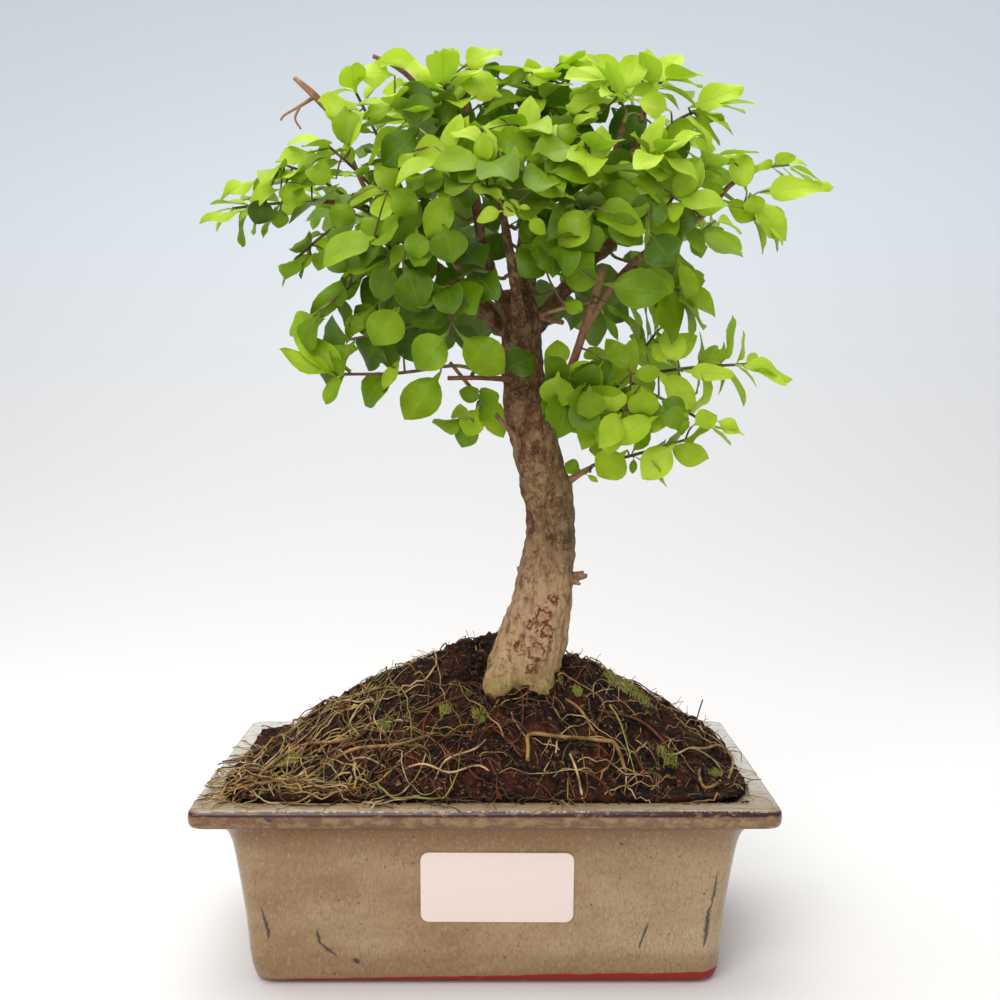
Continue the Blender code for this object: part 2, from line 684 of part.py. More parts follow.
def plan_leaves(routes, obstacles):
    """Pairs of leaves along every stem. A leaf that finds no free place in a few tries is left out."""
    draw = random.Random(LEAF_SEED)
    leaves = {name: [] for name in routes}
    most = max(pairs for _, pairs, _ in routes.values())
    for pair in range(most):
        for name, (route, pairs, size) in routes.items():
            if pair >= pairs:
                continue
            share = END_PAIR - (1 - BARE_SHARE) * pair / max(pairs, 2)
            roll = draw.uniform(-PAIR_ROLL, PAIR_ROLL) + PAIR_TURN * (pair % 2)
            for side in (-1, 1):
                place = share + PAIR_STAGGER * side
                leaf = free_leaf(name, route, place, side, roll, size, obstacles, draw)
                if leaf:
                    leaves[name].append(leaf)
                    obstacles.add(name, *leaf.blade(LEAF_THICKNESS))
    return leaves


def free_leaf(name, route, share, side, roll, size, obstacles, draw):
    """The first of a few tries at a leaf that touches nothing, or None."""
    for trial in range(LEAF_TRIES):
        wander = draw.uniform(-RETRY_ROLL, RETRY_ROLL) * trial
        leaf = leaf_on(route, share, side, roll + wander, size * (1 - RETRY_SHRINK * trial), draw)
        spaced = LEAF_THICKNESS + LEAF_MARGIN
        if not obstacles.touched_by(name, leaf.blade(spaced), leaf.blade(spaced, first=1)):
            return leaf
    return None


def make_stems(trunk, home):
    """Each leafy stem is one solid: a thin stem with its leaves fused on."""
    obstacles = Obstacles()
    obstacles.add("trunk", *mesh_data(trunk))
    routes = {}
    stems = []
    for limb_name, rows in STEMS.items():
        limb = limb_route(LIMBS[limb_name])
        for number, (share, places, pairs, size) in enumerate(rows, 1):
            name = f"leafy_stem_{limb_name}_{number}"
            route = stem_route(limb, share, places)
            stem = tube(name, route, STEM_SIDES, home)
            obstacles.add(name, *mesh_data(stem))
            routes[name] = (route, pairs, size)
            stems.append(stem)
    leaves = plan_leaves(routes, obstacles)
    for stem in stems:
        blades = collection(f"blades of {stem.name}")
        for leaf in leaves[stem.name]:
            from_points("blade", *leaf.blade(LEAF_THICKNESS), blades)
        boolean(stem, "UNION", blades)
    return stems


def finish(obj, made, sharp=math.radians(40)):
    obj.data.materials.clear()
    obj.data.materials.append(made)
    obj.data.shade_smooth()
    obj.data.set_sharp_from_angle(angle=sharp)


def main():
    clear_scene()
    home = collection("privet_bonsai")
    pot = make_pot(home)
    label = make_label(home)
    soil = make_soil(home)
    cover_with_roots(soil)
    cut_trunk_hole(soil, home)
    trunk = make_trunk(home)
    finish(pot, material("glaze", (0.36, 0.30, 0.22), 0.25))
    finish(label, material("paper", (0.92, 0.91, 0.90), 0.55))
    finish(soil, material("peat", (0.05, 0.03, 0.02), 0.95))
    finish(trunk, material("bark", (0.27, 0.19, 0.12), 0.85))
    for stem in make_stems(trunk, home):
        finish(stem, material(f"{stem.name} leaf", (0.30, 0.52, 0.06), 0.5))


main()
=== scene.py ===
"""A Chinese privet bonsai in its glazed pot, with its bark, leaves, soil and roots in full."""

import json
import math
import random
from contextlib import contextmanager

import bmesh
import bpy
from mathutils import Matrix, Vector, noise
from mathutils.bvhtree import BVHTree

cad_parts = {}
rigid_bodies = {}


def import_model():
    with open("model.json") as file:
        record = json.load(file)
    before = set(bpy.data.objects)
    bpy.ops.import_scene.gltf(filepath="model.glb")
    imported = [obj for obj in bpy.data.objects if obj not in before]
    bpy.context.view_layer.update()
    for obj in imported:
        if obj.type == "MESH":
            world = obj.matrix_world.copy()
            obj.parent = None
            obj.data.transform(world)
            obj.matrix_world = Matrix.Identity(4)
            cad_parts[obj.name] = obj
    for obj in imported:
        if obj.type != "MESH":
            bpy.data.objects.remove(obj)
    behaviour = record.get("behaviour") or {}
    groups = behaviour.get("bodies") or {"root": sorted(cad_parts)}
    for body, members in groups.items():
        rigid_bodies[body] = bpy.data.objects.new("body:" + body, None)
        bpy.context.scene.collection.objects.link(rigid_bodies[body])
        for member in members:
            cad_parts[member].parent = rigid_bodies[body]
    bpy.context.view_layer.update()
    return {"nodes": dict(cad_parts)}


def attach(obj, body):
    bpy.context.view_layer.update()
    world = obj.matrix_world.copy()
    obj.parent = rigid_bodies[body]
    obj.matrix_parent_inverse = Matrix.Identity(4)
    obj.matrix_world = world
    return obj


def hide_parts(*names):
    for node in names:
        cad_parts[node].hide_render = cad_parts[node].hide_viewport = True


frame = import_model()

MM = 0.001
UP = Vector((0, 0, 1))
# How near two points, in metres, are one and two heights, in millimetres, are level
WELD = 0.001 * MM
SAME_HEIGHT = 0.01
# The last share of a route at which it still has a direction
ROUTE_END = 0.9999

# The viewer's eye, in millimetres, and the camera's turn, in degrees
EYE = Vector((3.2, -405.3, 158.8))
CAMERA_PITCH = 85.86
CAMERA_YAW = -0.12
CAMERA_LENS = 50.1
SENSOR_WIDTH = 36

# Pot, in millimetres
POT_LENGTH = 155.6
POT_DEPTH = 103.0
POT_HEIGHT = 52.6
FLOOR = 5.0
CORNER_STEPS = 8
SIDE_CUTS = 11
DRAIN_RADIUS = 6.0
DRAIN_OFFSET = 36.0
DRAIN_SIDES = 32
RIM_CORNER = 3.4
POT_WOBBLE = 0.35
POT_WOBBLE_SIZE = 34.0
POT_WOBBLE_SEED = 5
POT_WOBBLE_FROM = 1.0
POT_WOBBLE_RISE = 8.0
POT_WOBBLE_UP = 0.3

# Each ring of the pot: how far it lies inside the rim's outline, its height and its corner radius.
POT_OUTSIDE = (
    (15.6, 0.0, 6.0), (14.6, 0.9, 6.0), (13.5, 4.0, 7.0), (12.9, 9.0, 7.0), (12.7, 17.0, 7.0),
    (9.7, 38.5, 7.0), (8.9, 41.6, 6.6), (7.8, 44.4, 6.0), (5.6, 46.3, 5.4), (3.0, 47.0, 4.6),
    (0.9, 47.1, 3.4), (0.0, 47.9, 3.4), (0.0, 51.7, 3.4), (0.8, 52.6, 3.4),
)
POT_INSIDE = (
    (8.8, 52.3, 4.0), (9.9, 51.4, 4.4), (12.4, 45.6, 5.0), (14.6, 36.0, 5.5), (17.8, 17.0, 5.5),
    (18.2, 8.5, 5.5), (20.8, FLOOR, 5.0),
)

# Soil, in millimetres
SEAT = 0.3
SOIL_PEAK = 87.0
SOIL_CENTRE = (2.0, 9.0)
SOIL_REACH_X = (74.0, 72.0)
SOIL_REACH_Y = (53.0, 34.0)
SOIL_FALL_X = (1.28, 1.5)
SOIL_FALL_Y = (1.1, 1.6)
SOIL_SPILL = 3.2
SOIL_SPILL_CORNER = 12.0
SOIL_ROUNDNESS = 1.6
SOIL_EDGE = 0.8
SOIL_DIP = 3.0
SOIL_DIP_FROM = (-48, -6)
SOIL_DIP_RUN = (16, 20)
SOIL_LUMPS = 1.6
SOIL_LUMP_SIZE = 13.0
SOIL_LUMP_FADE = 1.25
SOIL_PITCH = 0.6
CRUMBS = ((5.5, 1.5), (2.4, 1.3), (1.2, 0.7))
# The mound's half size along x and y, and how far below the pot's top the ground still counts
SOIL_HALF = Vector((
    POT_LENGTH / 2 - POT_INSIDE[0][0] - SEAT + SOIL_SPILL,
    POT_DEPTH / 2 - POT_INSIDE[0][0] - SEAT,
))
LIP_DROP = 2

# The trunk and its limbs: x, z, depth and radius along each, in millimetres
TRUNK = (
    (6.4, 50, 2, 10.8), (8.9, 73, 0, 11.0), (13.6, 88, -1, 10.2), (16.1, 100, -1, 8.7), (18.0, 112, 0, 7.6),
    (18.8, 123.5, 1, 7.1), (17.2, 135.3, 1, 7.2), (14.0, 147, 0, 6.8), (11.6, 158.6, 0, 6.5),
    (10.2, 170.3, 1, 6.3), (10.0, 181, 1, 5.8), (9.4, 190, 1, 4.6),
)
LIMBS = {
    "leader": ((9.8, 182, 1, 4.6), (11.2, 204.6, 2, 3.0), (12.1, 218.8, 3, 2.2), (15.0, 238, 4, 1.4)),
    "left_fork": ((8.6, 180, 0, 3.6), (3.0, 190, -3, 2.4), (-0.9, 201.7, -4, 2.1), (-2.3, 211.7, -5, 1.9),
                  (-6.6, 237, -6, 1.2)),
    "left_limb": ((8.4, 176.5, 2, 3.6), (-5.5, 188.3, 6, 2.7), (-13.3, 196, 9, 2.3),
                  (-23.3, 204.6, 10, 1.9), (-34.8, 213.6, 7, 1.5), (-47, 215.6, 4, 1.1)),
    "right_limb": ((11.5, 176, 2, 3.6), (21.4, 188.8, 2, 2.8), (29, 197.5, 0, 2.4), (36.3, 204, -1, 2.0),
                   (38.8, 215, -2, 1.8), (45.6, 243, -4, 1.2)),
    "upper_right": ((27, 195.5, 0, 2.0), (32.2, 212, -7, 1.7), (39.6, 238, -12, 1.1)),
    "cut_stick": ((16, 149, -1, 2.2), (24.4, 167.3, -9, 1.9), (30.1, 184.5, -13, 1.8),
                  (34.1, 197.1, -14, 1.7)),
    "right_branch": ((28, 178, -12, 1.7), (36.4, 191.3, -12, 1.6), (45.9, 200.9, -10, 1.5),
                     (61.6, 210.8, -7, 1.4), (70, 220, -5, 1.2), (77, 224, -4, 0.9)),
    "back_limb": ((10.2, 172, 3, 3.2), (12, 186, 15, 2.4), (14, 202, 27, 1.9), (15, 217, 36, 1.2)),
    "front_limb": ((10, 178, -1, 3.0), (8.5, 191, -13, 2.0), (6, 206, -22, 1.5), (4, 217, -28, 1.1)),
    "low_right_limb": ((11, 155, 1, 2.4), (23, 164, 7, 1.7), (34, 167, 6, 1.4), (46, 166.5, 3, 1.1)),
    "lowest_twig": ((18, 130.5, 1, 2.6), (25.4, 135.9, -1, 1.7), (30.3, 138.8, -3, 1.2)),
    "pink_stub": ((9, 164.4, -2, 1.5), (-1, 165, -10, 1.1), (-11.1, 164.9, -13, 1.0)),
    "low_left_twig": ((13, 143, -1, 1.7), (3.5, 153.5, -6, 1.1), (-3, 160.5, -5, 0.9),
                      (-10.5, 169.5, -4, 0.8)),
    "broken_stub": ((18, 106.4, 0, 2.2), (24.5, 106.6, -1, 1.9), (29.6, 107.4, -2, 1.1)),
    "small_knob": ((14, 108.6, -1, 2.2), (8.6, 109.2, -2, 1.2)),
    "pruned_twig": ((-30, 210, 8, 1.3), (-37, 224, 3, 1.1), (-43, 239, 0, 1.0), (-48.9, 245.6, -1, 1.3),
                    (-53.1, 249.6, -1, 0.7)),
}

# Leafy stems on each limb: the share of the limb where one starts, its route, its pairs of leaves
# and the size of its leaves
STEMS = {
    "left_limb": (
        (0.98, ((-60, 215, 2), (-73, 213.5, 0)), 4, 0.86),
        (0.82, ((-48, 222, -5), (-58, 226, -9)), 4, 0.9),
        (0.66, ((-34, 221, -6), (-46, 232, -14)), 4, 0.9),
        (0.52, ((-24, 219, 2), (-33, 238, 0), (-38, 248, -2)), 4, 0.95),
        (0.88, ((-48, 205, -5), (-55, 199, -9)), 3, 0.8),
        (0.60, ((-31, 198, -6), (-42, 189, -15), (-50, 183, -18)), 3, 0.9),
        (0.74, ((-38, 212, 24), (-48, 216, 36)), 3, 0.95),
        (0.40, ((-19, 196, -4), (-26, 201, -20), (-32, 206, -30)), 4, 1.0),
        (0.22, ((-9, 184, -8), (-24, 179, -16), (-40, 176, -19)), 4, 1.05),
        (0.30, ((-12, 186, 20), (-26, 182, 32)), 3, 1.0),
    ),
    "left_fork": (
        (0.98, ((-9, 243, -7), (-12, 248, -9)), 3, 1.0),
        (0.80, ((-17, 233, -6), (-26, 243, -10)), 4, 0.98),
        (0.66, ((-7, 222, -19), (-12, 229, -33)), 3, 1.0),
        (0.46, ((-9, 205, -18), (-18, 204, -31)), 3, 1.05),
        (0.56, ((-14, 215, -6), (-27, 218, -17)), 4, 1.0),
        (0.72, ((-10, 228, 12), (-19, 238, 26)), 3, 0.95),
    ),
    "leader": (
        (0.98, ((16, 244, 4), (14, 249, 0)), 3, 1.0),
        (0.80, ((12, 232, -12), (9, 237, -27)), 3, 1.0),
        (0.55, ((17, 213, -12), (22, 212, -27)), 3, 1.05),
        (0.70, ((22, 227, 4), (27, 242, -3)), 4, 0.98),
        (0.62, ((9, 219, 17), (3, 229, 33)), 3, 0.95),
        (0.85, ((16, 238, 16), (20, 246, 30)), 3, 0.9),
    ),
    "right_limb": (
        (0.98, ((47.5, 247, -4), (51, 250, -5)), 3, 1.0),
        (0.84, ((54, 238, -3), (65, 243, -5)), 4, 0.98),
        (0.74, ((45, 226, -17), (50, 229, -29)), 3, 1.0),
        (0.68, ((45, 226, 12), (54, 233, 26)), 3, 0.95),
        (0.46, ((39, 199, 12), (52, 197, 22)), 3, 1.0),
        (0.90, ((42, 243, 12), (40, 250, 24)), 2, 0.9),
    ),
    "upper_right": (
        (0.98, ((39, 243, -13), (35, 248, -15)), 3, 1.0),
        (0.62, ((33, 226, -24), (28, 231, -36)), 3, 1.0),
        (0.42, ((26, 210, -20), (30, 213, -36)), 3, 1.05),
    ),
    "right_branch": (
        (0.98, ((82, 225.5, -4), (87, 226, -4)), 3, 0.98),
        (0.84, ((75, 213, -8), (81, 209, -9)), 2, 0.95),
        (0.70, ((61, 221, -10), (65, 229, -13)), 3, 0.8),
        (0.50, ((50, 211, -18), (54, 217, -28)), 3, 1.0),
        (0.34, ((46, 193, -13), (56, 190, -15)), 2, 1.0),
        (0.60, ((60, 206, 8), (66, 210, 20)), 3, 0.9),
    ),
    "low_right_limb": (
        (0.98, ((60, 168, 1), (76, 169, 0)), 3, 0.9),
        (0.80, ((45, 173, -1), (50, 179, -3)), 2, 0.95),
        (0.90, ((53, 158, -3), (65, 151.5, -5)), 3, 0.9),
        (0.62, ((33, 160, -8), (40, 155, -20)), 4, 0.95),
        (0.72, ((40, 168, 18), (50, 171, 31)), 3, 0.95),
    ),
    "lowest_twig": (
        (0.98, ((43, 142.6, -5), (58, 147, -6)), 4, 0.92),
    ),
    "back_limb": (
        (0.98, ((15, 224, 42), (14, 232, 48)), 2, 0.95),
        (0.66, ((-2, 210, 34), (-12, 215, 43)), 3, 0.95),
        (0.74, ((28, 211, 36), (38, 217, 43)), 3, 0.95),
        (0.42, ((22, 191, 28), (29, 188, 42)), 3, 1.0),
        (0.34, ((2, 188, 26), (-6, 184, 40)), 3, 1.0),
    ),
    "front_limb": (
        (0.98, ((3, 223, -34), (0, 227, -42)), 2, 0.95),
        (0.62, ((15, 204, -27), (23, 203, -39)), 3, 1.0),
        (0.48, ((-3, 196, -22), (-12, 191, -32)), 3, 1.05),
        (0.80, ((12, 219, -31), (18, 224, -40)), 2, 1.0),
    ),
    "low_left_twig": (
        (0.60, ((-3, 155, -13), (-6, 152.5, -15)), 2, 0.8),
    ),
    "cut_stick": (
        (0.36, ((22, 163, -18), (27, 160, -22)), 2, 0.9),
    ),
    "pink_stub": (
        (0.70, ((-10, 168.5, -16), (-25, 166.4, -18), (-43, 166, -20)), 2, 0.98),
    ),
}

# Leaves that stand out, on their limbs: x and z of the stalk's foot, x and z of the tip, depth, half
# width, how far the blade turns from facing up to facing the viewer, and youth, which also carries
# painted light and shade
SEEN_LEAVES = {
    "left_limb": (
        (-68, 213, -83, 211, -8, 2.0, 0.5, 0.9), (-64, 222, -78, 219, -10, 2.3, 0.5, 0.92),
        (-63, 217, -66, 209, -12, 3.8, 0.95, 0.22), (-59, 214, -60, 208, -10, 2.9, 0.85, 0.5),
        (-59, 219, -69, 217, -14, 3.2, 0.7, 0.9), (-48, 223, -63, 223, -12, 2.9, 0.5, 0.95),
        (-48, 230, -61, 227, -8, 2.9, 0.5, 0.9), (-39, 230, -50, 230, -10, 2.6, 0.5, 0.8),
        (-50, 216, -60, 218, -16, 3.8, 0.85, 0.7), (-43, 222, -52, 225, -18, 3.5, 0.8, 0.72),
        (-39, 230, -41, 243, -12, 4.3, 0.85, 0.72), (-36, 241, -48, 245, -8, 3.5, 0.6, 0.95),
        (-43, 243, -44, 238, -6, 2.6, 0.9, 1), (-35, 239, -24, 245, -14, 2.9, 0.6, 0.75),
        (-49, 201, -57, 196, -8, 2.3, 0.7, 0.9), (-47, 202, -49, 196, -10, 2.3, 0.85, 0.6),
        (-39, 195, -52, 181, -16, 3.2, 0.8, 0.55), (-38, 195, -46, 202, -20, 4.3, 0.9, 0.42),
        (-39, 206, -46, 203, -22, 3.8, 0.9, 0.5), (-31, 187, -43, 177, -18, 2.6, 0.7, 0.6),
        (-25, 186, -32, 174, -30, 5.8, 0.95, 0.6), (-11, 178, -21, 168, -34, 5.8, 0.95, 0.6),
        (-9, 182, -23, 181, -28, 3.2, 0.8, 0.35), (-24, 172, -31, 161, -22, 1.7, 0.7, 0.85),
        (-28, 199, -31, 187, -32, 4.3, 0.9, 0.4), (-24, 198, -18, 185, -36, 6.1, 0.9, 0.38),
        (-39, 216, -43, 208, -20, 3.8, 0.85, 0.6),
    ),
    "left_fork": (
        (-26, 251, -39, 253, -6, 3.8, 0.65, 0.95), (-10, 249, -30, 259, -10, 3.8, 0.6, 0.98),
        (-5, 253, -15, 258, -4, 2.3, 0.5, 0.85), (-7, 253, 4, 260, -8, 3.5, 0.6, 0.95),
        (-22, 249, -30, 248, -8, 2.3, 0.6, 0.98), (-13, 244, -26, 245, -16, 5.2, 0.85, 0.32),
        (-13, 243, -24, 241, -20, 4.1, 0.85, 0.4), (-9, 248, -14, 237, -18, 3.8, 0.85, 0.4),
        (-19, 236, -30, 226, -26, 5.5, 0.9, 0.35), (-23, 238, -36, 229, -22, 2.3, 0.6, 0.6),
        (-10, 230, -21, 231, -32, 4.1, 0.8, 0.8), (-20, 230, -25, 225, -30, 1.7, 0.7, 0.8),
        (1, 233, -10, 236, -34, 2.6, 0.55, 0.95), (1, 222, -11, 225, -40, 4.6, 0.85, 0.6),
        (-13, 226, -17, 218, -36, 2.9, 0.85, 0.6), (-9, 218, -18, 206, -42, 4.6, 0.9, 0.58),
        (-28, 219, -20, 212, -38, 4.3, 0.9, 0.52), (-20, 208, -20, 199, -40, 3.8, 0.9, 0.5),
        (-12, 209, -10, 198, -42, 5.8, 0.95, 0.4), (-9, 190, -8, 183, -34, 3.8, 0.9, 0.3),
        (-9, 250, -16, 242, 4, 4.6, 0.88, 0.35), (-20, 243, -12, 235, 6, 4.8, 0.9, 0.28),
        (-4, 246, -12, 238, 10, 4.6, 0.9, 0.3),
        (-11, 243, -5, 234, 8, 5.0, 0.9, 0.38), (-2, 243, 4, 234, 10, 5.0, 0.9, 0.32),
        (-13, 204, -3, 196, 12, 4.6, 0.9, 0.38), (3, 201, -5, 192, 14, 4.4, 0.9, 0.32),
    ),
    "leader": (
        (5, 245, -9, 251, -12, 4.6, 0.7, 0.85), (4, 250, 0, 255, -4, 2.6, 0.7, 0.4),
        (13, 252, 3, 249, -8, 2.3, 0.6, 0.45), (21, 249, 10, 254, -6, 2.9, 0.6, 0.98),
        (-7, 237, 11, 237, -28, 2.3, 0.5, 0.8), (1, 236, 17, 227, -34, 4.1, 0.7, 0.6),
        (22, 236, 10, 235, -30, 2.9, 0.65, 0.6), (9, 219, -1, 223, -42, 2.0, 0.55, 1),
        (9, 219, 26, 220, -42, 2.0, 0.5, 1), (6, 216, -4, 220, -43, 2.0, 0.6, 0.95),
        (5, 213, -3, 211, -44, 2.3, 0.8, 0.85), (10, 216, 5, 212, -44, 2.6, 0.8, 0.85),
        (7, 213, 15, 212, -44, 2.0, 0.7, 0.9), (12, 211, 17, 206, -44, 2.3, 0.85, 0.7),
        (38, 246, 31, 257, -8, 4.6, 0.8, 1), (39, 246, 44, 258, -10, 4.3, 0.8, 1),
        (39, 244, 23, 245, -14, 3.5, 0.6, 0.95), (33, 248, 21, 258, -4, 3.8, 0.7, 0.8),
        (18, 252, 25, 252, -2, 2.6, 0.9, 0.4), (28, 234, 15, 236, -32, 3.5, 0.7, 0.6),
        (33, 241, 25, 238, -24, 1.7, 0.6, 0.85), (40, 233, 24, 230, -34, 3.2, 0.65, 0.85),
        (10, 203, 27, 200, -38, 5.5, 0.92, 0.42), (31, 213, 20, 204, -42, 5.2, 0.92, 0.6),
        (10, 214, 30, 215, -40, 2.3, 0.4, 0.8),
        (9, 250, 16, 241, 6, 4.8, 0.9, 0.3), (21, 249, 11, 242, 10, 4.8, 0.9, 0.25),
        (0, 248, 7, 239, 12, 5.0, 0.9, 0.3), (24, 250, 19, 240, 4, 4.2, 0.85, 0.4),
        (28, 247, 34, 238, 8, 4.4, 0.88, 0.3),
        (6, 243, 12, 233, 8, 5.2, 0.9, 0.34), (18, 243, 12, 235, 10, 5.0, 0.9, 0.28),
        (10, 239, 20, 231, 6, 4.8, 0.9, 0.38), (22, 240, 27, 231, 6, 5.0, 0.9, 0.32),
        (-1, 217, 4, 208, 10, 4.4, 0.9, 0.36), (5, 207, 1, 199, 11, 4.2, 0.9, 0.3),
    ),
    "right_limb": (
        (44, 250, 58, 254, -6, 2.6, 0.55, 0.95), (40, 245, 51, 249, -8, 2.3, 0.7, 0.85),
        (53, 241, 44, 245, -14, 3.5, 0.8, 0.85), (47, 238, 51, 231, -12, 3.2, 0.9, 0.78),
        (61, 238, 52, 233, -10, 3.5, 0.8, 0.68), (58, 242, 75, 248, -8, 4.1, 0.7, 0.98),
        (58, 241, 69, 239, -6, 2.0, 0.6, 0.7), (58, 240, 69, 234, -6, 2.0, 0.55, 0.75),
        (41, 230, 62, 218, -22, 5.2, 0.75, 0.55), (52, 228, 62, 220, -16, 2.6, 0.6, 0.8),
        (59, 220, 69, 220, -12, 2.3, 0.6, 0.75), (51, 219, 44, 207, -34, 5.5, 0.92, 0.33),
        (62, 211, 54, 210, -28, 3.5, 0.92, 0.28),
    ),
    "upper_right": (
        (34, 213, 45, 203, -40, 4.3, 0.9, 0.5), (47, 207, 54, 197, -38, 5.8, 0.95, 0.3),
        (34, 192, 53, 189, -36, 5.8, 0.92, 0.45), (55, 200, 62, 186, -24, 2.6, 0.75, 0.65),
        (27, 210, 32, 201, -38, 4.3, 0.9, 0.42), (20, 195, 33, 193, -36, 4.3, 0.88, 0.55),
        (22, 187, 28, 184, -30, 2.3, 0.85, 0.6), (44, 197, 54, 189, -32, 4.1, 0.85, 0.62),
        (46, 244, 37, 232, -4, 5.0, 0.9, 0.3), (36, 242, 44, 231, 4, 5.2, 0.9, 0.25),
        (33, 230, 42, 222, -14, 4.6, 0.9, 0.35), (48, 233, 42, 224, 6, 5.0, 0.9, 0.3),
        (30, 240, 24, 229, 0, 4.8, 0.9, 0.28), (52, 236, 56, 226, 2, 4.4, 0.85, 0.42),
    ),
    "right_branch": (
        (75, 218, 72, 230, -10, 3.8, 0.85, 0.95), (72, 226, 67, 228, -9, 1.4, 0.6, 0.75),
        (78, 218, 101, 222, -12, 3.8, 0.7, 0.95), (75, 217, 88, 205, -13, 3.8, 0.8, 0.9),
        (68, 216, 78, 210, -11, 3.2, 0.8, 0.8), (76, 218, 78, 212, -16, 3.2, 0.92, 0.68),
        (76, 223, 82, 228, -8, 1.7, 0.7, 0.8), (72, 222, 68, 224, -8, 1.4, 0.7, 0.85),
        (72, 214, 58, 216, -14, 2.6, 0.6, 0.85), (34, 187, 44, 179, -20, 1.4, 0.7, 0.45),
        (33, 185, 39, 176, -20, 1.2, 0.7, 0.4),
    ),
    "low_right_limb": (
        (21, 167, 20, 156, -24, 5.2, 0.95, 0.45), (30, 163, 30, 153, -28, 4.9, 0.95, 0.38),
        (34, 170, 25, 161, -18, 5.5, 0.9, 0.6), (36, 162, 38, 155, -22, 4.1, 0.92, 0.6),
        (45, 163, 46, 153, -24, 4.6, 0.92, 0.48), (33, 157, 24, 151, -20, 3.8, 0.85, 0.65),
        (50, 154, 36, 146, -22, 4.3, 0.88, 0.62), (59, 155, 51, 158, -20, 3.2, 0.85, 0.3),
        (59, 153, 51, 154, -24, 3.5, 0.85, 0.3), (50, 167, 62, 156, -12, 4.1, 0.88, 0.75),
        (60, 151, 67, 155, -16, 3.2, 0.88, 0.6), (66, 153, 76, 149, -10, 2.0, 0.65, 0.85),
        (54, 170, 48, 174, -10, 2.9, 0.85, 0.75), (56, 168, 53, 180, -12, 3.8, 0.88, 0.9),
        (57, 167, 73, 166, -8, 2.9, 0.75, 0.85), (72, 169, 90, 168, -2, 2.0, 0.6, 0.9),
        (62, 170, 70, 172, -4, 1.7, 0.65, 0.5), (42, 166, 36, 177, -18, 3.2, 0.8, 0.42),
        (42, 166, 51, 166, -18, 2.6, 0.85, 0.5), (47, 170, 43, 177, -10, 1.2, 0.7, 0.5),
        (21, 167, 20, 176, 12, 3.8, 0.9, 0.75), (32, 170, 30, 174, 10, 2.9, 0.88, 0.6),
    ),
    "lowest_twig": (
        (41, 144, 33, 136, -12, 5.2, 0.95, 0.6), (35, 145, 30, 144, -10, 2.6, 0.85, 0.55),
        (55, 146, 45, 136, -12, 4.9, 0.92, 0.85), (43, 142, 43, 137, -8, 1.2, 0.8, 0.5),
        (28, 138, 23, 140, -9, 2.3, 0.85, 0.38), (29, 137, 33, 135, -9, 0.9, 0.7, 0.6),
    ),
    "low_left_twig": (
        (-2, 157, -6, 148, -16, 3.8, 0.95, 0.65), (-1, 159, -8, 161, -14, 2.6, 0.88, 0.42),
        (-2, 161, 6, 148, 8, 3.8, 0.9, 0.72), (5, 167, 14, 172, -18, 4.6, 0.95, 0.15),
        (-8, 178, 5, 166, -28, 5.8, 0.92, 0.5),
    ),
    "pink_stub": (
        (-39, 167, -57, 176, -20, 4.1, 0.85, 0.75), (-43, 165, -60, 174, -21, 2.9, 0.8, 0.75),
        (-13, 167, -23, 152, -20, 5.8, 0.95, 0.62),
    ),
}

# How the solid tree was laid out, so that each leaf here lies on its solid leaf
TRUNK_SIDES = 12
LIMB_SIDES = 6
THICK_LIMB_SIDES = 8
THICK_LIMB = 3.4
STEM_SIDES = 4
STEM_RADII = (0.95, 0.65)
STEM_STUB = 1.8
END_SEAT = 0.4
LIMB_END = 0.95
LEAF_SEED = 11
LEAF_TRIES = 16
LEAF_LENGTH = 20.5 * MM
SOLID_LEAF_THICKNESS = 1.1 * MM
LEAF_MARGIN = 0.5 * MM
LEAF_SIZES = (0.86, 1.1)
LEAF_SIZE_AT_FOOT = 1.06
LEAF_SIZE_FALL = 0.26
LEAF_STALK = 0.15
STALK_WIDTH = 0.04
SOLID_STATIONS = (0.17, 0.43, 0.77)
LEAF_HALF_WIDTH = (0.31, 0.42)
LEAF_ROUNDNESS = 0.66
LEAF_EGG = 0.86
LEAF_CURL = (0.15, 0.75)
LEAF_FOLD = (0.1, 0.34)
LEAF_WAVE = (0.03, 0.085)
LEAF_WAVES = 7.5
WAVE_FADE = 3
LEAF_LEAN = (0.75, 1.15)
LEAN_FALL = 0.45
LEAF_RISE = (-0.28, 0.22)
PAIR_ROLL = 0.3
PAIR_TURN = 0.9
PAIR_STAGGER = 0.01
END_PAIR = 0.96
BARE_SHARE = 0.3
RETRY_ROLL = 0.08
RETRY_SHRINK = 0.012
CROWN_HEART = Vector((8, 0, 196)) * MM
FACING_UP = 0.5
FACING_OUT = Vector((0.45, 1.1, 0.9))
FACING_FRONT = Vector((0, -0.2, 0))
FACING_HOLD = 0.6
FACING_WOBBLE = 0.35
UPRIGHT = 0.05

# Leaves as they show
LEAF_THICKNESS = 0.36 * MM
LEAF_ROWS = (0.0, 0.16, 0.2, 0.29, 0.42, 0.56, 0.7, 0.82, 0.92, 1.0)
LEAF_COLUMNS = 4
TIP_FROM = 0.66
TIP_FALL = 0.36
SEEN_CURL = (0.15, 0.8)
SEEN_WAVE = (0.07, 0.19)
SHOWN_WAVE = 1.7
LEAF_SWAY = 0.1
YOUNG_SLIMMING = 0.34
SHOOT_SEED = 31
SHOOT_SHARES = (0.5, 0.72, 0.88)
SHOOT_SIZES = (0.5, 0.85)
STALK_RADII = (0.32, 0.24)
SHORT_STALK = 3.0 * MM
TURNED_BACK = 0.25
STALK_BOW = 0.06
STALK_TURN = 0.55
STALK_SWING = 0.25
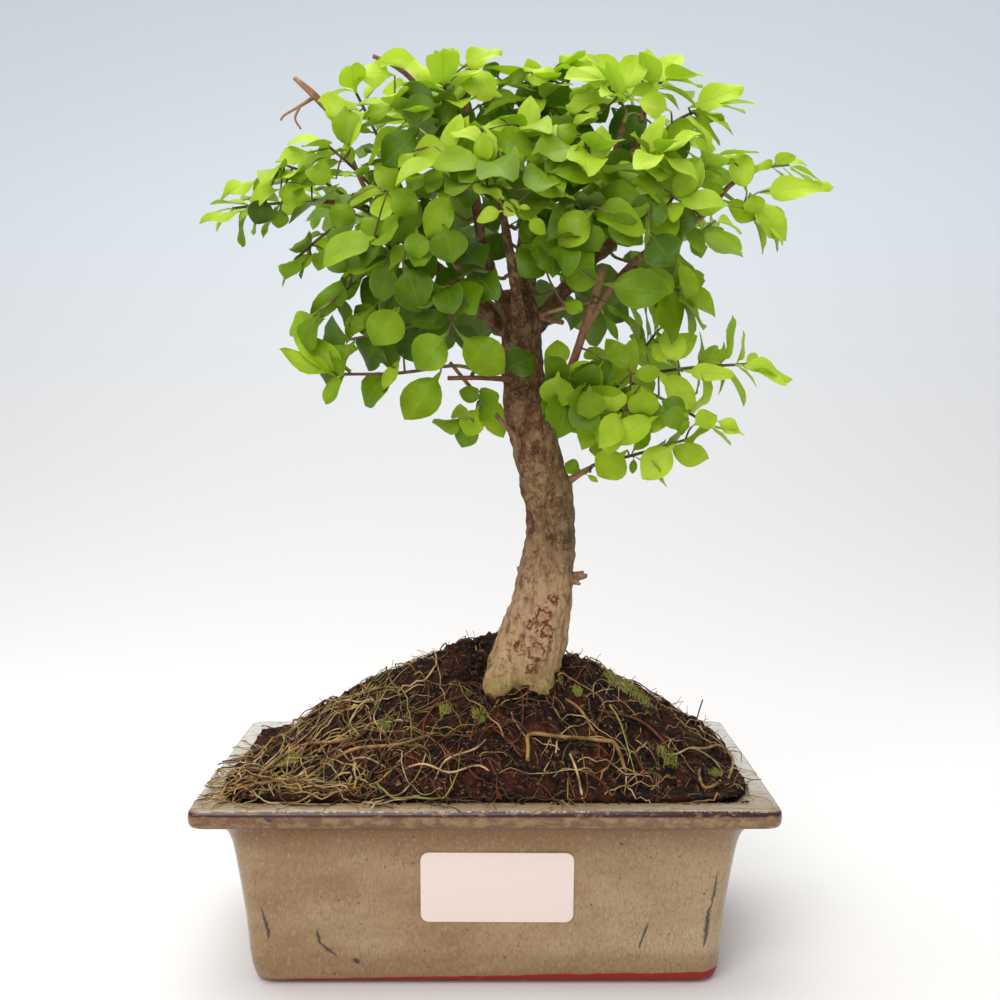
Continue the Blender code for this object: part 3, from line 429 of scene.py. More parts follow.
# A leaf's youth, which also carries painted light: where it is measured, the least there is, and what
# height, reach, stem and chance add
LEAF_HEART = 0.6
YOUTH_LEAST = 0.08
YOUTH_LOW = 0.1
YOUTH_FROM = 160
YOUTH_TO = 236
YOUTH_BY_HEIGHT = 0.5
CROWN_REACH = 90
YOUTH_BY_SIDE = 0.55
YOUTH_BY_SHARE = 0.1
YOUTH_SPREAD = 0.15
# Side veins along a leaf and how far they lean to its tip
VEINS = 8.0
VEIN_LEAN = 5.0
TWIG_THINNING = 0.62
# Stems on which the leaves stay small and no small ones come between
AIRY_STEMS = {
    "leafy_stem_left_limb_9": 0.76, "leafy_stem_pink_stub_1": 0.7, "leafy_stem_left_limb_6": 0.8,
    "leafy_stem_left_limb_1": 0.84, "leafy_stem_left_limb_5": 0.84, "leafy_stem_right_branch_1": 0.74,
    "leafy_stem_right_branch_2": 0.7, "leafy_stem_lowest_twig_1": 0.82, "leafy_stem_low_right_limb_3": 0.82,
    "leafy_stem_low_left_twig_1": 0.8, "leafy_stem_right_limb_2": 0.84, "leafy_stem_front_limb_2": 0.66,
    "leafy_stem_front_limb_3": 0.76, "leafy_stem_left_fork_4": 0.84,
}
# Limbs whose leaves are painted brighter than their place alone would make them: painted backlight
BACKLIT_LIMBS = {
    "low_right_limb": 0.42, "lowest_twig": 0.34, "right_branch": 0.12, "upper_right": 0.09,
    "right_limb": 0.1, "leader": 0.12, "left_fork": 0.1, "cut_stick": 0.3, "low_left_twig": 0.28,
    "front_limb": 0.05,
}

# Colours that a pattern picks: the pattern's value and the colour there
GLAZE_TONES = (
    (0.34, (0.235, 0.135, 0.058)), (0.46, (0.285, 0.176, 0.083)), (0.55, (0.325, 0.213, 0.11)),
    (0.68, (0.375, 0.265, 0.15)),
)
# The lip's top from front to back: painted shade at the front, painted reflection towards the back
LIP_LIGHT_TONES = (
    (0.0, (0.30, 0.215, 0.12)), (0.2, (0.37, 0.285, 0.165)), (0.5, (0.5, 0.44, 0.345)),
    (0.8, (0.6, 0.56, 0.48)),
)
PEAT_TONES = (
    (0.0, (0.0025, 0.0011, 0.0007)), (0.5, (0.007, 0.003, 0.0015)), (0.74, (0.022, 0.0075, 0.003)),
    (0.9, (0.075, 0.022, 0.008)), (0.97, (0.13, 0.055, 0.02)), (1.0, (0.25, 0.15, 0.07)),
)
# One colour for each tone of root, and the dry hairs' own
ROOT_TONES = {
    "pale root": (0.40, 0.27, 0.13), "golden root": (0.27, 0.15, 0.045), "brown root": (0.085, 0.04, 0.015),
    "red root": (0.13, 0.035, 0.014), "green root": (0.19, 0.17, 0.035),
}
HAIR_TONE = (0.2, 0.13, 0.06)
# The heights, in millimetres, between which the bark's tones run
BARK_SPAN = (70, 240)
BARK_TONES = (
    (0.0, (0.38, 0.25, 0.10)), (0.1, (0.50, 0.32, 0.165)), (0.2, (0.44, 0.27, 0.15)),
    (0.29, (0.165, 0.085, 0.038)), (0.5, (0.175, 0.08, 0.035)), (0.75, (0.13, 0.062, 0.026)),
    (1.0, (0.19, 0.075, 0.032)),
)
YOUNG_BARK_TONES = (
    (0.34, (0.11, 0.045, 0.02)), (0.48, (0.25, 0.115, 0.055)), (0.6, (0.36, 0.2, 0.11)),
    (0.7, (0.3, 0.24, 0.1)),
)
TWIG_TONES = ((0.35, (0.075, 0.028, 0.01)), (0.5, (0.12, 0.085, 0.02)), (0.65, (0.21, 0.28, 0.04)))
# Leaf greens from old to young, which also serve as painted shade and painted light
LEAF_TONES = (
    (0.0, (0.03, 0.074, 0.003)), (0.3, (0.08, 0.168, 0.004)), (0.55, (0.19, 0.325, 0.006)),
    (0.8, (0.42, 0.585, 0.018)), (1.0, (0.62, 0.765, 0.07)),
)
LIT_LEAF_TONES = (
    (0.0, (0.03, 0.10, 0.002)), (0.35, (0.12, 0.26, 0.004)), (0.7, (0.42, 0.62, 0.012)),
    (1.0, (0.75, 0.95, 0.06)),
)

# Marks on the pot. A lip mark's four heights or distances: where it starts, is full, fades and ends
LIP_FACE = (46.6, 48.0, 51.2, 51.9)
# Painted shade: a dark line in the crease under the lip
LIP_CREASE_SHADE = (46.2, 46.9, 47.3, 48.0)
# Painted highlight: pale glints along the lip's rounded outer edge
LIP_GLINT = (-0.95, -0.75, -0.5, -0.35)
# Dark streaks of glaze on the front, and at x -57.6 a small pit in the lip, painted dark as its shade:
# start and end in x and z, and width
STREAKS = (
    ((-45.6, 16.2), (-44.4, 11.6), 1.0), ((-44.8, 12.6), (-40.4, 8.2), 1.1),
    ((-60.2, 22.8), (-58.4, 12.8), 0.9), ((62.4, 33.0), (60.6, 21.0), 0.7),
    ((60.6, 23.0), (58.8, 10.5), 1.3), ((44.0, 18.4), (41.6, 10.2), 0.7),
    ((-35.4, 8.0), (-34.5, 6.2), 1.4), ((-57.6, 50.7), (-55.4, 49.2), 1.9),
    ((36.0, 41.2), (36.8, 40.4), 0.9),
)

# Groups of thin roots: how many, where they start in x and y, their headings, the lengths of their
# steps, their numbers of steps, their radii and how often each tone comes
ROOT_GROUPS = (
    (170, (-70, -16), (-41, 12), (-4.2, -0.4), (1.7, 3.2), (7, 18), (0.12, 0.36), (5, 7, 4, 1, 3)),
    (80, (-34, 34), (-42, -16), (-4.4, 1.2), (1.5, 2.8), (5, 13), (0.11, 0.26), (1, 2, 6, 6, 1)),
    (95, (14, 68), (-41, 20), (-2.8, 1.8), (1.4, 2.8), (4, 12), (0.11, 0.3), (10, 6, 2, 4, 3)),
    (110, (-60, 60), (8, 40), (-0.6, 3.8), (1.5, 2.8), (5, 12), (0.15, 0.42), (4, 4, 4, 3, 1)),
)
ROOT_SEED = 23
ROOT_WANDER = 0.33
ROOT_CURL = 0.22
ROOT_FLOAT = (-0.1, 1.9)
ROOT_RIPPLE = 0.4
ROOT_DIVE = -1.2
ROOT_TAPER = 0.5
ROOT_SIDES = 6
SHORTEST_ROOT = 4
# Roots that stand out: tone, radius and places, each x and z in the trunk's plane and the lift
BIG_ROOTS = (
    ("golden root", 0.58, ((12.1, 49.8, -1.5), (12.4, 54.5, 1.2), (12.9, 58.0, 1.9), (21.8, 57.6, 1.6),
                           (33.6, 56.4, 1.7), (38.4, 55.2, 1.4), (42.0, 47.6, -1.6))),
    ("golden root", 0.42, ((20.3, 73.2, -1.0), (27.7, 66.6, 0.8), (33.6, 58.2, -1.0))),
    ("brown root", 0.5, ((-0.7, 73.0, -0.5), (-9.0, 70.0, 0.8), (-20.0, 66.0, 0.5), (-31.0, 64.5, -1.2))),
    ("golden root", 0.55, ((-14.0, 62.0, -1.0), (-26.0, 56.0, 0.9), (-40.0, 54.0, 1.2), (-52.0, 47.0, 0.6),
                           (-58.0, 44.0, -0.8))),
    ("pale root", 0.3, ((2.0, 62.0, -1.0), (-3.0, 55.0, 0.8), (-12.0, 51.0, 1.1), (-16.0, 45.0, -0.8))),
    ("red root", 0.4, ((24.0, 70.0, -1.0), (36.0, 66.0, 0.6), (47.0, 62.5, 0.6), (58.0, 52.0, -0.8))),
    ("pale root", 0.3, ((5.0, 46.0, -1.0), (-2.0, 49.5, 1.0), (-11.0, 47.0, 1.4), (-20.0, 50.0, 1.0),
                         (-33.0, 46.0, -1.0))),
    ("golden root", 0.5, ((-34.0, 62.0, -1.0), (-44.0, 57.0, 1.0), (-55.0, 55.0, 1.4), (-66.0, 48.0, 0.9),
                          (-70.0, 43.0, -0.8))),
    ("golden root", 0.42, ((60.2, 56.8, -0.8), (64.7, 54.7, 1.0), (69.1, 55.4, 1.2), (73.0, 51.5, 0.8),
                           (71.5, 46.0, -0.6))),
    ("golden root", 0.45, ((63.3, 52.2, -0.8), (63.1, 46.6, 1.0), (64.7, 42.9, 1.0), (68.3, 43.6, 1.2),
                           (69.9, 47.2, -0.6))),
    ("pale root", 0.3, ((51.4, 54.7, -0.8), (56.2, 52.8, 1.2), (60.9, 54.4, 1.4), (66.9, 51.6, 1.0),
                         (69.9, 49.7, -0.8))),
    ("red root", 0.42, ((24.0, 51.0, -0.8), (29.5, 47.5, 1.0), (34.5, 44.2, 1.0), (38.0, 40.6, -0.6))),
    ("pale root", 0.36, ((24.5, 55.5, -0.8), (26.0, 50.0, 1.1), (27.5, 45.0, 1.1), (28.5, 41.2, -0.6))),
    ("brown root", 0.22, ((61.5, 62.6, -1.0), (62.6, 62.4, 3.8), (63.9, 62.0, 8.6))),
)

# Loose clods: all over the mound, banked up round the trunk's foot and spilled on the front lip
CLOD_SEED = 7
CLODS = 900
CLOD_MARGIN = 2
CLOD_SIZES = (0.4, 2.0)
CLOD_SHRINK = (0.5, 1)
FOOT_CLODS = 110
FOOT_REACH = (10.0, 16.0)
FOOT_SIZES = (0.9, 2.6)
SPILLED = 70
SPILL_ACROSS = (-66, 70)
SPILL_REACH = (0.2, 3.2)
SPILL_SIZES = (0.25, 0.9)
# A clod's depth and height beside its length, its tilt, and how rough its noise makes it
CLOD_DEPTH = (0.5, 0.9)
CLOD_HEIGHT = (0.4, 0.8)
CLOD_TILT = 0.6
CLOD_ROUGHNESS = 0.5
CLOD_GRAIN = 1.7
# Chips of bark that stand out: x and z in the trunk's plane and size
CHIPS = (
    (60.0, 64.2, 3.4), (57.4, 65.4, 2.8), (62.6, 63.0, 2.6), (51.0, 52.5, 1.7), (-5.0, 50.2, 1.5),
    (36.0, 50.8, 1.8), (24.0, 64.5, 1.6), (-2.6, 78.0, 1.6), (6.0, 77.4, 2.6), (8.6, 78.2, 2.8),
    (11.4, 77.8, 2.6), (7.2, 75.6, 2.6), (10.0, 76.0, 2.8), (12.8, 75.8, 2.4), (6.4, 79.2, 2.2),
    (8.8, 80.0, 2.4), (11.2, 79.8, 2.2), (13.4, 78.0, 2.2),
)

# Tufts of moss: x and z in the trunk's plane and reach. The grass: x, z and lift along its one blade
MOSS_SEED = 3
MOSS_TUFTS = (
    (42.0, 73.0, 3.8), (46.5, 70.2, 3.2), (37.0, 76.2, 2.6), (41.5, 74.4, 2.8), (53.0, 52.3, 3.2),
    (-1.9, 65.0, 1.8), (-12.2, 66.7, 1.5), (19.5, 76.5, 2.6), (15.0, 77.5, 2.0), (-30.0, 62.0, 1.4),
    (68.0, 48.0, 1.6), (27.0, 72.0, 1.2), (-58.0, 52.0, 2.0),
)
MOSS_BLADES = 120
MOSS_BLADE = (0.7, 2.1)
MOSS_RADII = (0.16, 0.04)
MOSS_LEAN = 0.6
MOSS_SINK = 0.2
GRASS = ((36.5, 68.7, 0.0), (38.6, 62.5, 3.0), (40.6, 56.7, 3.6), (44.7, 44.5, 1.2))
GRASS_RADII = (0.36, 0.108)
# Dry hairs of root: how far back they grow, how steeply they rise, how they sag and how long they are
HAIRS = 480
HAIR_BACK = 0.8
HAIR_RISE = (0.3, 1.2)
HAIR_SAG = (-0.8, 0.2)
HAIR_BEND = 0.4
HAIR_LENGTHS = (1.2, 5.0)
HAIR_RADIUS = 0.09
HAIR_STEPS = (0, 0.33, 0.66, 1)
BLADE_SIDES = 4

# The spread foot and cut twigs: x, z, depth and radius along each
FLARES = (
    ((12, 88, -2, 7.5), (6.8, 79, -6, 6.0), (1.6, 70, -12, 4.2)),
    ((13, 86, -2, 7.5), (14.5, 78, -6, 5.6), (15.5, 70, -8, 4.2)),
)
CUT_TWIGS = (
    ((-43, 239, 0, 0.9), (-49, 245, -1, 0.8), (-54.6, 250.4, -1, 0.7)),
    ((-49, 245, -1, 0.65), (-53, 242.6, -2, 0.5), (-57.5, 240, -3, 0.35), (-58.8, 238.4, -3, 0.3)),
    ((-53, 242.6, -2, 0.4), (-54.6, 239.0, -3, 0.32), (-53.0, 236.0, -3, 0.3)),
    ((-12.5, 238.0, -4, 0.9), (-20.3, 249.0, -5, 0.8), (-26.0, 253.7, -5, 0.7), (-32.2, 256.5, -5, 0.6)),
    ((-6.0, 238.0, -5, 0.8), (-4.5, 252.1, -6, 0.7), (0.2, 256.3, -6, 0.6)),
    ((-6, 190, -2, 1.2), (-9, 199, -5, 0.9), (-10.5, 203, -6, 0.8)),
    ((22, 181, -4, 0.8), (16, 183, -14, 0.6), (30, 187, -16, 0.4)),
    ((20, 106.4, 0, 1.8), (25.0, 107.0, -1, 1.4), (28.6, 108.4, -2, 0.35)),
    ((20, 106.0, 0, 1.6), (25.4, 105.6, -2, 1.1), (27.6, 104.6, -3, 0.3)),
)
# Limbs with the smooth paler bark of young wood, and how thin they are beside the solid ones
YOUNG_LIMBS = (
    "cut_stick", "pink_stub", "low_left_twig", "right_branch", "low_right_limb", "lowest_twig",
    "pruned_twig",
)
YOUNG_SHARE = 0.66
LIMB_SHARE = 0.8
LIMB_TUBE_SIDES = 16
YOUNG_TUBE_SIDES = 10
TWIG_TUBE_SIDES = 8
# Bark: the voxels' size, the size and depth of each grade of ridges, and the wood that bears them in full
BARK_PITCH = 0.42
BARK_SOFTENING = 0.5
BARK_SOFTENINGS = 4
BARK_RIDGES = ((9.0, 0.8), (3.6, 0.7), (1.5, 0.5))
RIDGE_STRETCH = 1.7
RIDGED_RADIUS = 7
WOOD_LEAST = 0.5
WOOD_REACH = (1.6, 4)
# Old cuts on the trunk's front: x and z, and radius. Each has a raised ring and a dip inside it
SCARS = (
    ((16.4, 96.6), 2.0), ((13.2, 94.2), 1.2), ((17.6, 92.4), 1.6), ((14.6, 86.6), 2.2),
    ((19.4, 101.5), 1.1), ((9.5, 88.0), 1.1), ((12.9, 82.0), 1.4),
)
SCAR_DEPTH = 0.3
SCAR_RING = 0.7
SCAR_HEART = 1.3
# The size of the pale dots in the old bark
LENTICELS = 1.9

# The studio: lights as name, place, aim, size and power, in metres and watts
LIGHTS = (
    ("overhead", (-0.1, 0.1, 0.95), (0, 0, 0.15), 0.9, 8.0),
    ("front", (-0.3, -0.95, 0.75), (0, 0, 0.12), 0.8, 9.0),
)
SKY = (0.92, 0.96, 1.0, 1)
SKY_STRENGTH = 0.55
STAGE_SIZE = 6
STAGE_PLACE = (0, -1.4, -0.0002)
STAGE_WALL = 4
STAGE_BEND = 1.2
STAGE_BEND_STEPS = 24
# Painted light on the sweep: warmer and darker on the floor, paler and bluer up the wall
STAGE_FADE = 450
STAGE_NEAR = (0.80, 0.77, 0.745)
STAGE_FAR = (0.91, 0.955, 1.0)


# Objects and meshes


def deselect():
    bpy.ops.object.select_all(action="DESELECT")


def make_active(obj):
    deselect()
    obj.select_set(True)
    bpy.context.view_layer.objects.active = obj


def discard(*objects):
    for obj in objects:
        bpy.data.objects.remove(obj, do_unlink=True)


def collection(name):
    made = bpy.data.collections.new(name)
    bpy.context.scene.collection.children.link(made)
    return made


def new_object(name, data, home=None):
    obj = bpy.data.objects.new(name, data)
    (home or bpy.context.scene.collection).objects.link(obj)
    return obj


def mesh_data(obj):
    """A mesh's points and the corners of its faces."""
    faces = [face.vertices[:] for face in obj.data.polygons]
    return [vertex.co.copy() for vertex in obj.data.vertices], faces


def painted(obj, look):
    obj.data.materials.append(look)
    return obj


def join(name, objects):
    deselect()
    for obj in objects:
        obj.select_set(True)
    bpy.context.view_layer.objects.active = objects[0]
    bpy.ops.object.join()
    objects[0].name = name
    return objects[0]


def modify(obj, kind, **settings):
    """Adds a modifier with its settings and applies it."""
    modifier = obj.modifiers.new(kind.lower(), kind)
    for name, value in settings.items():
        setattr(modifier, name, value)
    make_active(obj)
    bpy.ops.object.modifier_apply(modifier=modifier.name)


@contextmanager
def editing(obj):
    """Edit mode on one object, by its edges, with none of them picked yet."""
    make_active(obj)
    bpy.ops.object.mode_set(mode="EDIT")
    bpy.ops.mesh.select_mode(type="EDGE")
    bpy.ops.mesh.select_all(action="DESELECT")
    yield
    bpy.ops.object.mode_set(mode="OBJECT")


def pick_edges(obj, wanted):
    """Selects the edges whose two ends, in millimetres, pass the test, in edit mode."""
    bpy.ops.mesh.select_all(action="DESELECT")
    shape = bmesh.from_edit_mesh(obj.data)
    for edge in shape.edges:
        if wanted(*(vertex.co / MM for vertex in edge.verts)):
            edge.select_set(True)
    bmesh.update_edit_mesh(obj.data)


def turn_outward():
    """Turns every face of the mesh being edited outward."""
    bpy.ops.mesh.select_all(action="SELECT")
    bpy.ops.mesh.normals_make_consistent(inside=False)


def finish_piece(obj, looks, slot, *nodes, sharp=50):
    """Gives a piece its materials, unless it has them already, and ties it to the solid plant."""
    if looks:
        obj.data.materials.clear()
    for look in looks:
        obj.data.materials.append(look)
    make_active(obj)
    bpy.ops.object.shade_smooth_by_angle(angle=math.radians(sharp))
    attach(obj, "root")
    if nodes:
        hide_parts(*nodes)


# Where things are


def clamped(value, low=0, high=1):
    return min(max(value, low), high)


def seen(x, z, depth):
    """A place in metres whose x and z were read in the trunk's plane, slid along the line of sight."""
    flat = Vector((x, 0, z))
    return EYE.lerp(flat, (depth - EYE.y) / -EYE.y) * MM


def limb_route(rows):
    return [Vector((*seen(x, z, depth), radius)) for x, z, depth, radius in rows]


def tapered(places, thick, thin):
    """A route through places in metres that thins evenly from one radius, in millimetres, to another."""
    last = len(places) - 1
    return [Vector((*place, thick + (thin - thick) * step / last)) for step, place in enumerate(places)]


def along(route, share):
    """The 4D point at a share of a route's length, and the route's direction there."""
    spans = [(end.xyz - start.xyz).length for start, end in zip(route, route[1:])]
    left = min(share, ROUTE_END) * sum(spans)
    for start, end, span in zip(route, route[1:], spans):
        if left <= span:
            return start.lerp(end, left / span), (end.xyz - start.xyz).normalized()
        left -= span
    return route[-1].copy(), (route[-1].xyz - route[-2].xyz).normalized()


def smooth_route(route, steps):
    """The same 4D points joined by a smooth curve, with steps pieces to each span."""
    ends = [route[0] * 2 - route[1], *route, route[-1] * 2 - route[-2]]
    points = []
    for before, start, end, after in zip(ends, ends[1:], ends[2:], ends[3:]):
        for step in range(steps):
            t = step / steps
            bend = before * 2 - start * 5 + end * 4 - after
            twist = start * 3 - before - end * 3 + after
            points.append((start * 2 + (end - before) * t + bend * t * t + twist * t ** 3) / 2)
    return [*points, route[-1].copy()]


def tube_curve(name, routes, sides, home=None):
    """One curve object with a tapering tube along each route."""
    curve = bpy.data.curves.new(name, "CURVE")
    curve.dimensions = "3D"
    curve.bevel_depth = MM
    curve.bevel_resolution = sides // 2 - 2
    curve.use_fill_caps = True
    for route in routes:
        spline = curve.splines.new("POLY")
        spline.points.add(len(route) - 1)
        for point, place in zip(spline.points, route):
            point.co = (*place.xyz, 1)
            point.radius = place.w
    return new_object(name, curve, home)


def tube(name, routes, sides, home=None):
    """The same tubes as one closed mesh."""
    obj = tube_curve(name, routes, sides, home)
    bpy.context.view_layer.update()
    mesh = bpy.data.meshes.new_from_object(obj.evaluated_get(bpy.context.evaluated_depsgraph_get()))
    shape = bmesh.new()
    shape.from_mesh(mesh)
    bmesh.ops.remove_doubles(shape, verts=shape.verts, dist=WELD)
    shape.to_mesh(mesh)
    shape.free()
    discard(obj)
    return new_object(name, mesh, home)


# The plan of the leaves, as the solid tree has it


def stem_route(limb, share, rows):
    """A leafy stem's route: it leaves its limb square to it, or at its end, just off the bark."""
    anchor, grain = along(limb, share)
    places = [seen(*row) for row in rows]
    if share > LIMB_END:
        first = grain
        start = limb[-1].xyz + grain * END_SEAT * MM
    else:
        aim = places[0] - anchor.xyz
        first = (aim - grain * aim.dot(grain)).normalized()
        start = anchor.xyz + first * (anchor.w + SEAT) * MM
    return tapered([start, start + first * STEM_STUB * MM, *places], *STEM_RADII)


class Leaf:
    """One leaf: where it grows, how it lies and how its blade curls and waves."""

    def __init__(self, base, direction, facing, length, draw):
        self.base = base
        self.forward = direction.normalized()
        self.side = self.forward.cross(facing).normalized()
        self.normal = self.side.cross(self.forward)
        self.length = length
        self.half_width = length * draw.uniform(*LEAF_HALF_WIDTH)
        self.curl = draw.uniform(*LEAF_CURL)
        self.fold = draw.uniform(*LEAF_FOLD)
        self.wave = length * draw.uniform(*LEAF_WAVE)
        self.phases = (draw.uniform(0, math.tau), draw.uniform(0, math.tau))

    def point(self, u, v, width=None):
        """The blade's middle surface: u runs from the stalk's foot to the tip, v from edge to edge."""
        turned = self.curl * u
        ahead = self.length * math.sin(turned) / self.curl
        drop = self.length * (1 - math.cos(turned)) / self.curl
        if width is None:
            width = solid_half_width(u)
        out = v * self.half_width * width
        held = min(1, WAVE_FADE * width)
        wave = self.wave * math.sin(LEAF_WAVES * u + self.phases[v > 0]) * v * v * held
        up = abs(out) * self.fold + wave - drop
        return self.base + self.forward * ahead + self.side * out + self.normal * up

    def shrink(self, share):
        self.length *= share
        self.half_width *= share
        self.wave *= share

    def solid_blade(self, thickness, first=0):
        """Points and triangles of the solid leaf: thick at its rib and thin at its edges."""
        stations = SOLID_STATIONS[first:]
        points = [self.point(SOLID_STATIONS[0] if first else 0, 0), self.point(1, 0)]
        half = self.normal * thickness / 2
        for u in stations:
            rib = self.point(u, 0)
            points += [self.point(u, -1), rib + half, self.point(u, 1), rib - half]
        faces = []
        end = 4 * (len(stations) - 1)
        for side in range(4):
            low, high = 2 + side, 2 + (side + 1) % 4
            faces += [(0, high, low), (1, low + end, high + end)]
            for row in range(0, end, 4):
                a, b, c, d = low + row, high + row, high + row + 4, low + row + 4
                alike = side in (0, 2)
                faces += [(a, b, c), (a, c, d)] if alike else [(a, b, d), (b, c, d)]
        return points, faces


def solid_half_width(u):
    """The solid blade's half width as a share of its widest."""
    share = clamped((u - LEAF_STALK) / (1 - LEAF_STALK))
    return max(math.sin(math.pi * share ** LEAF_EGG) ** LEAF_ROUNDNESS, STALK_WIDTH if u < 0.5 else 0)


def leaf_on(route, share, side, roll, size, draw):
    """A leaf on one side of a stem, leaning forward and turned to face up and out of the crown."""
    at, grain = along(route, share)
    level = grain.cross(UP)
    level = level.normalized() if level.length > UPRIGHT else Vector((1, 0, 0))
    sideways = Matrix.Rotation(roll, 3, grain) @ level * side
    lean = draw.uniform(*LEAF_LEAN) * (1 - LEAN_FALL * share)
    direction = grain * math.cos(lean) + sideways * math.sin(lean) + UP * draw.uniform(*LEAF_RISE)
    outward = (at.xyz - CROWN_HEART).normalized() * FACING_OUT + FACING_FRONT
    wobble = Vector([draw.uniform(-FACING_WOBBLE, FACING_WOBBLE) for _ in range(3)])
    facing = (UP * FACING_UP + outward + wobble).normalized()
    direction -= facing * direction.dot(facing) * FACING_HOLD
    length = LEAF_LENGTH * size * draw.uniform(*LEAF_SIZES) * (LEAF_SIZE_AT_FOOT - LEAF_SIZE_FALL * share)
    return Leaf(at.xyz, direction, facing, length, draw)


class Obstacles:
    """Solids already placed, each with its stem's name and a ball round it, for new ones to avoid."""

    def __init__(self):
        self.solids = []

    def add(self, owner, points, faces):
        self.solids.append((owner, *ball_round(points), BVHTree.FromPolygons(points, faces)))

    def touched_by(self, owner, whole, stalkless):
        """Whether a blade touches anything. Its stalk may touch only its own stem."""
        centre, radius = ball_round(whole[0])
        whole_tree = BVHTree.FromPolygons(*whole)
        stalkless_tree = BVHTree.FromPolygons(*stalkless)
        for other_owner, other, reach, solid in self.solids:
            tree = stalkless_tree if other_owner == owner else whole_tree
            if (other - centre).length < radius + reach and solid.overlap(tree):
                return True
        return False


def ball_round(points):
    centre = sum(points, Vector()) / len(points)
    return centre, max((point - centre).length for point in points)


def grow_leaf(leaves, name, route, share, side, roll, size, obstacles, draw):
    """Adds the first of a few tries at a leaf that touches nothing, if there is one."""
    for trial in range(LEAF_TRIES):
        wander = draw.uniform(-RETRY_ROLL, RETRY_ROLL) * trial
        leaf = leaf_on(route, share, side, roll + wander, size * (1 - RETRY_SHRINK * trial), draw)
        spaced = SOLID_LEAF_THICKNESS + LEAF_MARGIN
        if not obstacles.touched_by(name, leaf.solid_blade(spaced), leaf.solid_blade(spaced, first=1)):
            leaf.share = share
            leaves.append(leaf)
            obstacles.add(name, *leaf.solid_blade(SOLID_LEAF_THICKNESS))
            return


def plan_leaves(routes, obstacles):
    """Pairs of leaves along every stem. A leaf that finds no free place in a few tries is left out."""
    draw = random.Random(LEAF_SEED)
    leaves = {name: [] for name in routes}
    most = max(pairs for _, pairs, _ in routes.values())
    for pair in range(most):
        for name, (route, pairs, size) in routes.items():
            if pair >= pairs:
                continue
            share = END_PAIR - (1 - BARE_SHARE) * pair / max(pairs, 2)
            roll = draw.uniform(-PAIR_ROLL, PAIR_ROLL) + PAIR_TURN * (pair % 2)
            for side in (-1, 1):
                place = share + PAIR_STAGGER * side
                grow_leaf(leaves[name], name, route, place, side, roll, size, obstacles, draw)
    return leaves


def seen_leaf(row, draw):
    """A leaf laid between two places as the viewer sees them."""
    foot_x, foot_z, tip_x, tip_z, depth, half_width, turn, youth = row
    base, tip = seen(foot_x, foot_z, depth), seen(tip_x, tip_z, depth)
    to_eye = (EYE * MM - base).normalized()
    facing = UP * (1 - turn) + to_eye * turn
    leaf = Leaf(base, tip - base, facing, (tip - base).length, draw)
    leaf.curl = draw.uniform(*SEEN_CURL)
    leaf.length *= leaf.curl / math.sin(leaf.curl)
    leaf.half_width = half_width * (1 + depth / -EYE.y) * MM
    leaf.wave = leaf.length * draw.uniform(*SEEN_WAVE)
    leaf.youth = youth
    return leaf


def nearest_on(routes, place):
    """The point of the routes nearest to a place."""
    best = None
    for route in routes:
        for start, end in zip(route, route[1:]):
            span = end.xyz - start.xyz
            share = clamped((place - start.xyz).dot(span) / span.length_squared)
            point = start.xyz + span * share
            if best is None or (place - point).length < (place - best).length:
                best = point
    return best


def stalk_route(routes, leaf):
    """A thin shoot from the nearest wood to a leaf's foot, along the leaf unless it would turn back."""
    start = nearest_on(routes, leaf.base)
    reach = leaf.base - start
    gap = reach.length
    end = leaf.base + leaf.forward * leaf.length * LEAF_STALK
    if gap < SHORT_STALK:
        places = (start, end)
    elif reach.dot(leaf.forward) < gap * TURNED_BACK:
        places = (start, start.lerp(leaf.base, 0.5) + UP * gap * STALK_BOW, leaf.base)
    else:
        turn = start.lerp(leaf.base, STALK_TURN) - leaf.forward * gap * STALK_SWING
        places = (start, turn, leaf.base, end)
    return tapered(places, *STALK_RADII)


def plan_shoots(routes, obstacles):
    """Small leaves between the pairs, across them, wherever there is room."""
    draw = random.Random(SHOOT_SEED)
    leaves = {name: [] for name in routes}
    for name, (route, _, size) in routes.items():
        for share in SHOOT_SHARES if name not in AIRY_STEMS else ():
            for side in (-1, 1):
                roll = math.pi / 2 + draw.uniform(-PAIR_ROLL, PAIR_ROLL)
                small = size * draw.uniform(*SHOOT_SIZES)
                grow_leaf(leaves[name], name, route, share, side, roll, small, obstacles, draw)
    return leaves


def solid_tree():
    """The solid trunk, grown together with its limbs, for the plan of the leaves to keep clear of."""
    limbs = collection("limbs")
    trunk = tube("solid trunk", [limb_route(TRUNK)], TRUNK_SIDES)
    for name, rows in LIMBS.items():
        sides = THICK_LIMB_SIDES if rows[0][3] > THICK_LIMB else LIMB_SIDES
        tube(name, [limb_route(rows)], sides, limbs)
    modify(trunk, "BOOLEAN", operation="UNION", solver="EXACT", operand_type="COLLECTION", collection=limbs)
    discard(*limbs.objects)
    bpy.data.collections.remove(limbs)
    return trunk


